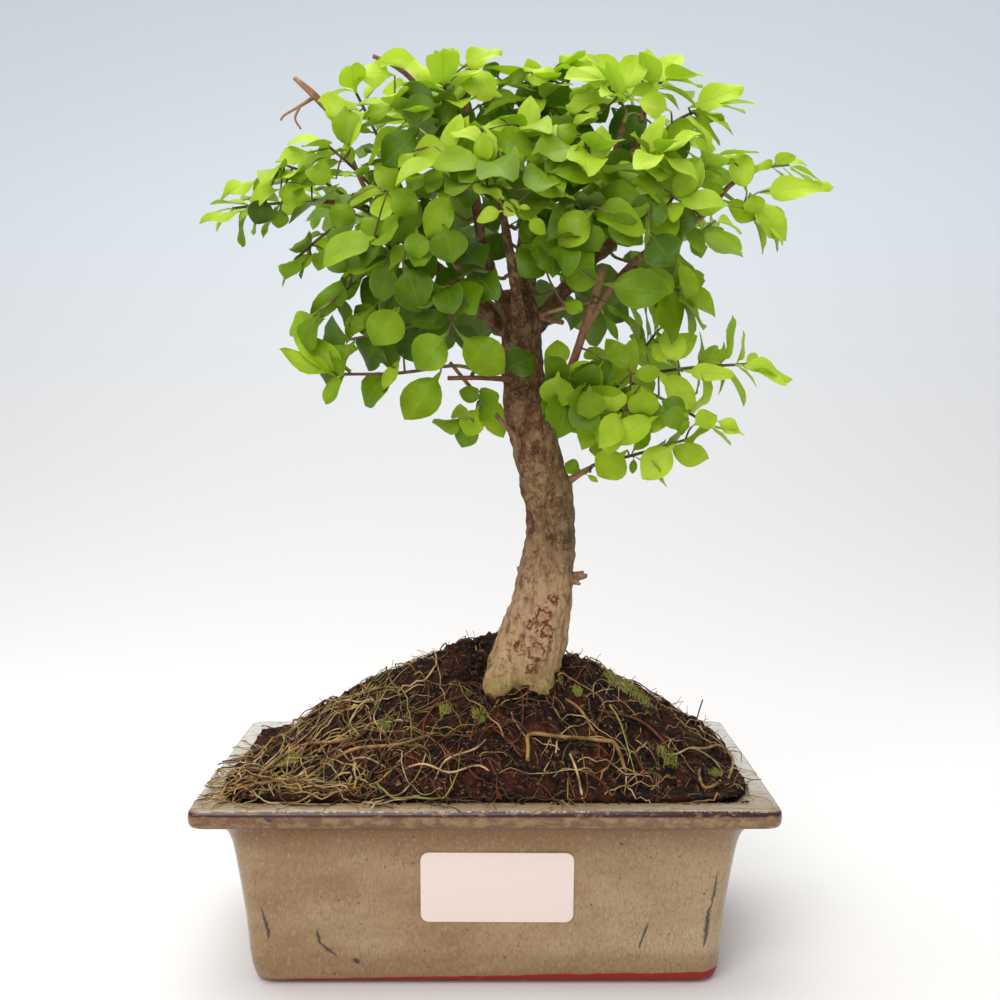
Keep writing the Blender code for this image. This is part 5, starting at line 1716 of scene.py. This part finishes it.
def make_moss(ground, look):
    """Tufts of moss and one long blade of grass."""
    draw = random.Random(MOSS_SEED)
    routes = []
    for x, z, reach in MOSS_TUFTS:
        heart = ground_seen(ground, x, z)
        blades = [moss_blade(ground, heart, reach, draw) for _ in range(MOSS_BLADES)]
        routes += [blade for blade in blades if blade]
    routes.append(smooth_route(tapered(lifted(ground, GRASS), *GRASS_RADII), 6))
    finish_piece(tube("moss_and_grass", routes, BLADE_SIDES), [look], "leaf", sharp=80)


def hair(foot, draw):
    """One dry hair that rises from the soil and bends over."""
    aim = Vector((draw.uniform(-1, 1), draw.uniform(-1, 1), draw.uniform(*HAIR_RISE))).normalized()
    bend = Vector((draw.uniform(-1, 1), draw.uniform(-1, 1), draw.uniform(*HAIR_SAG)))
    length = draw.uniform(*HAIR_LENGTHS) * MM
    places = [foot + aim * length * t + bend * length * t * t * HAIR_BEND for t in HAIR_STEPS]
    return tapered(places, HAIR_RADIUS, HAIR_RADIUS)


def make_hairs(ground, look):
    """Fine dry hairs of root that stand up out of the soil."""
    draw = random.Random(MOSS_SEED + 1)
    routes = []
    while len(routes) < HAIRS:
        x = draw.uniform(-1, 1) * SOIL_HALF.x
        y = draw.uniform(-1, HAIR_BACK) * SOIL_HALF.y
        foot = ground_under(ground, x, y)
        if foot:
            routes.append(hair(foot, draw))
    finish_piece(tube("root_hairs", routes, BLADE_SIDES), [look], "peat", sharp=80)


# Trunk


def thinned(route, share):
    """The same route with its radius drawn down to a share."""
    return [point * Vector((1, 1, 1, share)) for point in route]


def make_trunk(bark, young_bark):
    """The trunk with its spread foot and old limbs, fused and given its bark, and its young wood."""
    old = [rows for name, rows in LIMBS.items() if name not in YOUNG_LIMBS]
    routes = [smooth_route(limb_route(rows), 4) for rows in (TRUNK, *FLARES)]
    routes += [smooth_route(thinned(limb_route(rows), LIMB_SHARE), 4) for rows in old]
    trunk = join("trunk_and_limbs", [tube("limb", [route], LIMB_TUBE_SIDES) for route in routes])
    modify(trunk, "REMESH", mode="VOXEL", voxel_size=BARK_PITCH * MM)
    modify(trunk, "SMOOTH", factor=BARK_SOFTENING, iterations=BARK_SOFTENINGS)
    carve_bark(trunk)
    young = [smooth_route(thinned(limb_route(LIMBS[name]), YOUNG_SHARE), 5) for name in YOUNG_LIMBS]
    young += [smooth_route(limb_route(rows), 4) for rows in CUT_TWIGS]
    twigs = painted(tube("young wood", young, YOUNG_TUBE_SIDES), young_bark)
    trunk = join("trunk_and_limbs", [painted(trunk, bark), twigs])
    finish_piece(trunk, (), "bark", "trunk", sharp=180)


def carve_bark(trunk):
    """Lumps and long ridges of bark, shallower where the wood is thin, and the rings round old cuts."""
    routes = [limb_route(rows) for rows in (TRUNK, *LIMBS.values())]
    normals = [vertex.normal.copy() for vertex in trunk.data.vertices]
    for vertex, normal in zip(trunk.data.vertices, normals):
        x, y, z = vertex.co / MM
        push = 0
        for size, depth in BARK_RIDGES:
            push += noise.noise(Vector((x, y, z / RIDGE_STRETCH)) / size) * depth
        push *= min(wood_radius(vertex.co, routes) / RIDGED_RADIUS, 1)
        if normal.y < 0:
            push += scar_height(x, z)
        vertex.co += normal * push * MM


def scar_height(x, z):
    """The height in millimetres of the rings and dips that old cuts leave on the trunk's front."""
    height = 0
    for (scar_x, scar_z), radius in SCARS:
        away = math.hypot(x - scar_x, z - scar_z)
        height += SCAR_DEPTH * math.exp(-(((away - radius) / SCAR_RING) ** 2))
        height -= SCAR_DEPTH * math.exp(-((away / SCAR_HEART) ** 2))
    return height


def wood_radius(place, routes):
    """The radius in millimetres of the thickest limb that a place lies on."""
    share, more = WOOD_REACH
    most = WOOD_LEAST
    for route in routes:
        for point in route:
            if (place - point.xyz).length < (point.w * share + more) * MM:
                most = max(most, point.w)
    return most


# Leaves


def shown_half_width(u):
    """The blade's half width as a share of its widest: as the solid's, drawn to a finer point."""
    past = max(u - TIP_FROM, 0) / (1 - TIP_FROM)
    return solid_half_width(u) * (1 - TIP_FALL * past * past)


def make_leaf_pattern():
    """A flat leaf on a unit square, two-sided with one shared rim: x is v, y is u and z the bulge."""
    deselect()
    rows = len(LEAF_ROWS) - 1
    bpy.ops.mesh.primitive_grid_add(x_subdivisions=LEAF_COLUMNS, y_subdivisions=rows, size=2)
    leaf = bpy.context.object
    leaf.name = "leaf pattern"
    for vertex in leaf.data.vertices:
        row = round((vertex.co.y + 1) / 2 * rows)
        inner = row not in (0, rows) and abs(vertex.co.x) < 0.99
        vertex.co = (vertex.co.x, LEAF_ROWS[row], 0.5 * inner * (1 - vertex.co.x ** 2))
    for uv in leaf.data.uv_layers[0].data:
        uv.uv.y = LEAF_ROWS[round(uv.uv.y * rows)]
    with editing(leaf):
        bpy.ops.mesh.select_all(action="SELECT")
        bpy.ops.mesh.duplicate_move()
        bpy.ops.transform.resize(value=(1, 1, -1), center_override=(0, 0, 0))
        bpy.ops.mesh.flip_normals()
        bpy.ops.mesh.select_all(action="SELECT")
        bpy.ops.mesh.remove_doubles(threshold=0.0001)
    under = leaf.data.attributes.new("underside", "FLOAT", "FACE")
    for face, value in zip(leaf.data.polygons, under.data):
        value.value = float(face.normal.z < 0)
    leaf.data.attributes.new("youth", "FLOAT", "POINT")
    return leaf


def make_leaf(pattern, leaf, youth, slim, draw):
    """A copy of the pattern bent to one leaf's place and curl, its tip swayed to one side."""
    copy = new_object("leaf", pattern.data.copy())
    sway = leaf.side * leaf.length * draw.uniform(-LEAF_SWAY, LEAF_SWAY)
    for vertex in copy.data.vertices:
        v, u, bulge = vertex.co
        blade = leaf.point(u, v * slim, shown_half_width(u))
        vertex.co = blade + sway * u * u + leaf.normal * bulge * LEAF_THICKNESS
    for value in copy.data.attributes["youth"].data:
        value.value = youth
    return copy


def youth_of(leaf, painted_backlight, draw):
    """How young a leaf is, with painted light mixed in: more so at the crown's top, at its two sides and at
    a stem's end.
    """
    heart = leaf.point(LEAF_HEART, 0) / MM
    height = max(heart.z - YOUTH_FROM, 0) / (YOUTH_TO - YOUTH_FROM)
    across = abs(heart.x - CROWN_HEART.x / MM) / CROWN_REACH
    youth = YOUTH_LOW + YOUTH_BY_HEIGHT * height * height + YOUTH_BY_SIDE * across
    youth += YOUTH_BY_SHARE * leaf.share
    youth += draw.uniform(-YOUTH_SPREAD, YOUTH_SPREAD)
    return clamped(youth + painted_backlight, YOUTH_LEAST)


def grown_leaf(pattern, leaf, share, painted_backlight, draw):
    """A leaf of the solid tree as it shows. The young ones are slimmer."""
    leaf.shrink(share)
    leaf.wave *= SHOWN_WAVE
    youth = youth_of(leaf, painted_backlight, draw)
    return make_leaf(pattern, leaf, youth, 1 - YOUNG_SLIMMING * max(2 * youth - 1, 0), draw)


def rooted(route):
    """A leafy stem's route with its foot drawn back into the wood that it grows from."""
    first = route[0].copy()
    first.xyz -= (route[1].xyz - route[0].xyz).normalized() * STEM_STUB * MM
    return [first, *route]


def make_foliage(leaf_look, twig_look):
    """One piece of foliage for each limb: its leafy stems and all their leaves."""
    routes, leaves, seen_leaves = plan_tree()
    wood = [route for route, _, _ in routes.values()] + [limb_route(rows) for rows in LIMBS.values()]
    draw = random.Random(LEAF_SEED + 1)
    pattern = make_leaf_pattern()
    for limb in STEMS:
        piece = f"foliage_{limb}"
        names = [name for name in routes if name.startswith(f"leafy_stem_{limb}_")]
        painted_backlight = BACKLIT_LIMBS.get(limb, 0)
        blades = [
            grown_leaf(pattern, leaf, AIRY_STEMS.get(name, 1), painted_backlight, draw)
            for name in names for leaf in leaves[name]
        ]
        shoots = [thinned(smooth_route(rooted(routes[name][0]), 4), TWIG_THINNING) for name in names]
        for leaf in seen_leaves.get(limb, ()):
            blades.append(make_leaf(pattern, leaf, leaf.youth + painted_backlight / 2, 1, draw))
            shoots.append(smooth_route(stalk_route(wood, leaf), 3))
        twigs = painted(tube("twigs", shoots, TWIG_TUBE_SIDES), twig_look)
        foliage = join(piece, [painted(join(piece, blades), leaf_look), twigs])
        finish_piece(foliage, (), "leaf", *names, sharp=60)
    discard(pattern)


# The label, the light and the camera


def paint_label(look):
    label = frame["nodes"]["label"]
    label.data.materials.clear()
    label.data.materials.append(look)


def add_light(name, place, aim, size, power):
    light = bpy.data.lights.new(name, "AREA")
    light.size = size
    light.energy = power
    obj = new_object(name, light)
    obj.location = place
    obj.rotation_euler = (Vector(aim) - Vector(place)).to_track_quat("-Z", "Y").to_euler()
    return obj


def make_floor():
    """A pale floor that sweeps up behind the tree, its colour a painted gradient of light: warmer on the
    floor, paler and bluer up the wall.
    """
    deselect()
    bpy.ops.mesh.primitive_plane_add(size=STAGE_SIZE, location=STAGE_PLACE)
    floor = bpy.context.object
    floor.name = "floor"
    with editing(floor):
        pick_edges(floor, lambda a, b: a.y > 0 and b.y > 0)
        bpy.ops.mesh.extrude_region_move()
        bpy.ops.transform.translate(value=(0, 0, STAGE_WALL))
        pick_edges(floor, lambda a, b: a.y > 0 and b.y > 0 and a.z < 1 and b.z < 1)
        bpy.ops.mesh.bevel(offset=STAGE_BEND, segments=STAGE_BEND_STEPS, affect="EDGES")
    bpy.ops.object.transform_apply(location=True)
    floor.data.shade_smooth()
    look = Look("floor", Roughness=0.7, Specular_IOR_Level=0.1)
    look.colour(look.mix(look.band(look.z, 0, STAGE_FADE), STAGE_NEAR, STAGE_FAR))
    return painted(floor, look.material)


def make_stage():
    """Soft studio light over the pale floor."""
    world = bpy.data.worlds.new("studio")
    world.use_nodes = True
    sky = world.node_tree.nodes["Background"].inputs
    sky["Color"].default_value = SKY
    sky["Strength"].default_value = SKY_STRENGTH
    bpy.context.scene.world = world
    lights = [add_light(*row) for row in LIGHTS]
    make_floor()


def add_camera():
    camera = bpy.data.cameras.new("camera")
    camera.lens = CAMERA_LENS
    camera.sensor_width = SENSOR_WIDTH
    obj = new_object("camera", camera)
    obj.location = EYE * MM
    obj.rotation_euler = (math.radians(CAMERA_PITCH), 0, math.radians(CAMERA_YAW))
    bpy.context.scene.camera = obj


def main():
    bpy.context.scene.view_settings.view_transform = "Standard"
    pot = make_pot(make_glaze())
    paint_label(make_paper())
    peat = make_peat()
    soil = make_soil(peat)
    ground = tree_of(soil, pot)
    make_roots(ground)
    make_clods(ground, peat)
    make_moss(ground, make_moss_look())
    make_hairs(ground, make_root_look("dry hair", HAIR_TONE))
    make_trunk(make_bark(), make_young_bark())
    make_foliage(make_leaf_look(), make_twig_look())
    make_stage()
    add_camera()


main()
